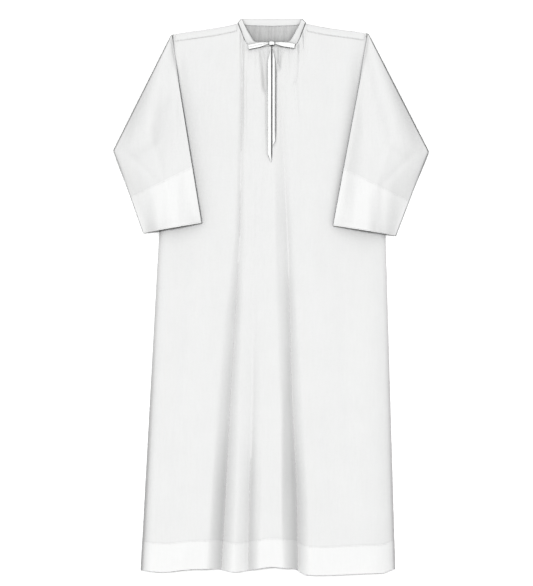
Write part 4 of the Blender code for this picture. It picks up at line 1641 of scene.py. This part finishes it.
@dataclass
class Stitching:
    """Rows of machine stitches: every seam and folded edge that a maker topstitches."""

    cut: RobeCut
    wardrobe: Wardrobe
    pitch: float = 0.0032
    length: float = 0.0024
    width: float = 0.00045
    proud: float = 0.00004
    flatness: float = 0.7
    tuck: float = 0.15
    # Each ring of a stitch: its place along it, its swell, and whether it stands over the cloth.
    rings: tuple = ((-0.5, 0.35, False), (-0.25, 0.9, True), (0.25, 0.9, True), (0.5, 0.35, False))
    corners: tuple[float, ...] = (0.0, 60.0, 120.0, 180.0, 270.0)
    cuff_points: int = 60
    hem_points: int = 160
    hem_reach: float = 0.995
    hem_below_seam: float = 0.0022
    hem_above_panel: float = 0.0013
    band_inset: float = 0.0015
    facing_column: int = -2
    facing_first_row: int = 4
    facing_height_share: float = 0.9
    tie_first_row: int = 6
    tie_column: int = 4
    collar_points: int = 50
    collar_rows: int = 46
    collar_shares: tuple[float, ...] = (0.10, 0.88)
    points: list[np.ndarray] = field(default_factory=list)
    quads: list[list[int]] = field(default_factory=list)

    def row(self, path: np.ndarray) -> None:
        """Lay one row of stitches.

        Args:
            path: points on the cloth's upper face, one a row.
        """
        run = np.linalg.norm(np.diff(path, axis=0), axis=1).sum()
        count = max(2, int(run / self.pitch))
        middles = along_path(path, (np.arange(count) + 0.5) / count)
        ahead = along_path(path, np.clip((np.arange(count) + 0.6) / count, 0.0, 1.0))
        for middle, towards in zip(middles, ahead):
            self._stitch(middle, towards - middle)

    def _stitch(self, middle: np.ndarray, run: np.ndarray) -> None:
        """One stitch: a short rounded dash of thread, its ends tucked into the cloth.

        Args:
            middle: its middle, on the cloth.
            run: the seam's direction there.
        """
        run = run / np.linalg.norm(run)
        side = np.cross((0.0, 0.0, 1.0), run)
        side = side / np.linalg.norm(side)
        up = np.cross(run, side)
        first = len(self.points)
        for along_it, swell, showing in self.rings:
            reach = self.width * 0.5 * swell
            lift = self.proud if showing else -self.width * self.tuck
            for turn in np.radians(self.corners):
                self.points.append(middle + run * self.length * along_it + side * reach * math.cos(turn)
                                   + up * (reach * math.sin(turn) * self.flatness + lift))
        quads = ClothMesh.quads_of(len(self.rings), len(self.corners), closed=True, first=first)
        self.quads.extend(quads.tolist())

    def build(self, sleeves: list[Sleeve], collar: Collar, bands: ShoulderBands,
              facings: SlitFacings, ties: Ties) -> None:
        """Stitch the robe's seams and make the thread in one piece.

        Args:
            sleeves: both sleeves, for their cuffs' two rows.
            collar: for its two rows on each front half.
            bands: for their two rows each.
            facings: for one row each by their outer edges.
            ties: for one row down the middle of each.
        """
        self._hem()
        for sleeve in sleeves:
            lines = sleeve.cuff_lines()
            for index in (1, len(lines) - 2):
                self._raised(sleeve.top_line(lines, index, self.cuff_points), sleeve.cuff_wall * 0.5)
        for side in Side:
            self._collar(collar, side)
            strip = bands.points(side)
            for edge, inset in ((0, self.band_inset), (-1, -self.band_inset)):
                path = strip[edge].copy()
                path[:, 1] += inset
                self._raised(path, bands.wall)
        for strip in facings.strips:
            path = facings.points(strip)[self.facing_first_row:, self.facing_column]
            self._raised(path, facings.wall * self.facing_height_share)
        for tie in ties.ends:
            self._raised(ties.ribbon(tie)[self.tie_first_row:-1, self.tie_column], ties.wall)
        piece = ClothMesh.from_arrays("seam_stitches", np.array(self.points), np.array(self.quads))
        # The thread's grey is painted shade of the stitches.
        self.wardrobe.dress(piece, THREAD_WITH_PAINTED_SHADE, "tie_tape")

    def _raised(self, path: np.ndarray, height: float) -> None:
        """Lay one row of stitches a height above a path."""
        self.row(path + np.array([0.0, 0.0, height]))

    def _hem(self) -> None:
        """The hem seam's topstitching, front only, since the back's is underneath."""
        for side in Side:
            x, hem_y = self.cut.hem_foot(side, np.linspace(0.0, self.hem_reach, self.hem_points))
            y = hem_y + self.cut.hem_depth - self.hem_below_seam
            z = self.cut.front_height(x, y) + self.hem_above_panel
            self.row(np.stack([x, y, z], axis=1))

    def _collar(self, collar: Collar, side: Side) -> None:
        """Edge stitching along the collar's seam and its free edge.

        Args:
            collar: the collar.
            side: which front half.
        """
        lines = smooth_path(collar.front_lines(side), self.collar_points)[:self.collar_rows]
        for share in self.collar_shares:
            path = lines[:, :3] * (1.0 - share) + lines[:, 3:] * share
            self._raised(path, collar.wall * 0.5 + collar.crown * math.sin(math.pi * share))


# ---------------------------------------------------------------- studio


@dataclass
class Studio:
    """White paper, one broad and far lamp nearly overhead, faint fill, and a camera straight above."""

    floor_half: float = 9.0
    floor_drop: float = 0.0002
    view_height: float = 1.559
    camera_up: float = 9.0
    camera_aside: tuple[float, float] = (-0.0121, 0.0101)
    camera_reach: float = 60.0
    sensor: float = 36.0
    key_tilt_degrees: tuple[float, float] = (-3.0, -3.5)
    key_spread_degrees: float = 24.0
    key_strength: float = 2.34
    fill_strength: float = 0.45
    # A gamma under 1 deepens soft greys, so that shallow folds read clearly on white cloth.
    view_gamma: float = 0.36
    # No light passes from cloth to cloth, since that fills the folds and washes them out.
    bounces: int = 0

    def build(self) -> None:
        """Set up the floor, the lamps and the camera."""
        self._floor()
        self._lamps()
        self._camera()

    def _floor(self) -> None:
        """A large sheet of white paper at the table's height."""
        mesh = bpy.data.meshes.new("studio_floor")
        half = self.floor_half
        corners = [(-half, -half, 0.0), (half, -half, 0.0), (half, half, 0.0), (-half, half, 0.0)]
        mesh.from_pydata(corners, [], [(0, 1, 2, 3)])
        floor = bpy.data.objects.new("studio_floor", mesh)
        bpy.context.scene.collection.objects.link(floor)
        floor.location.z = -self.floor_drop
        mesh.materials.append(StudioPaper().material())

    def _lamps(self) -> None:
        """The key lamp, even over the whole table, and a dim white surround as fill."""
        light = bpy.data.lights.new("key_softbox", "SUN")
        light.energy = self.key_strength
        light.angle = math.radians(self.key_spread_degrees)
        lamp = bpy.data.objects.new("key_softbox", light)
        bpy.context.scene.collection.objects.link(lamp)
        lamp.rotation_euler = (*(math.radians(angle) for angle in self.key_tilt_degrees), 0.0)
        world = bpy.data.worlds.new("studio_surround")
        bpy.context.scene.world = world
        world.use_nodes = True
        background = world.node_tree.nodes["Background"]
        background.inputs["Color"].default_value = linear("ffffff")
        background.inputs["Strength"].default_value = self.fill_strength

    def _camera(self) -> None:
        """A long lens straight above, so that the view is nearly parallel."""
        camera = bpy.data.cameras.new("overhead_camera")
        camera.sensor_width = self.sensor
        camera.lens = self.sensor * self.camera_up / self.view_height
        camera.clip_end = self.camera_reach
        stand = bpy.data.objects.new("overhead_camera", camera)
        bpy.context.scene.collection.objects.link(stand)
        stand.location = (*self.camera_aside, self.camera_up)
        bpy.context.scene.camera = stand
        view = bpy.context.scene.view_settings
        view.view_transform = "Standard"
        view.gamma = self.view_gamma
        bpy.context.scene.cycles.diffuse_bounces = self.bounces


def main() -> None:
    """Build the studio and the robe, piece by piece."""
    logging.basicConfig(level=logging.INFO, format="%(name)s: %(message)s")
    Studio().build()
    cut = RobeCut()
    wardrobe = Wardrobe()
    BodyPanels(cut, wardrobe).build()
    HemBands(cut, wardrobe).build()
    sleeves = [Sleeve(cut, wardrobe, side) for side in Side]
    for sleeve in sleeves:
        sleeve.build()
    collar = Collar(cut, wardrobe)
    collar.build()
    bands = ShoulderBands(cut, wardrobe)
    bands.build()
    facings = SlitFacings(cut, wardrobe)
    facings.build()
    ties = Ties(cut, wardrobe)
    ties.build()
    Stitching(cut, wardrobe).build(sleeves, collar, bands, facings, ties)


if __name__ == "__main__":
    main()
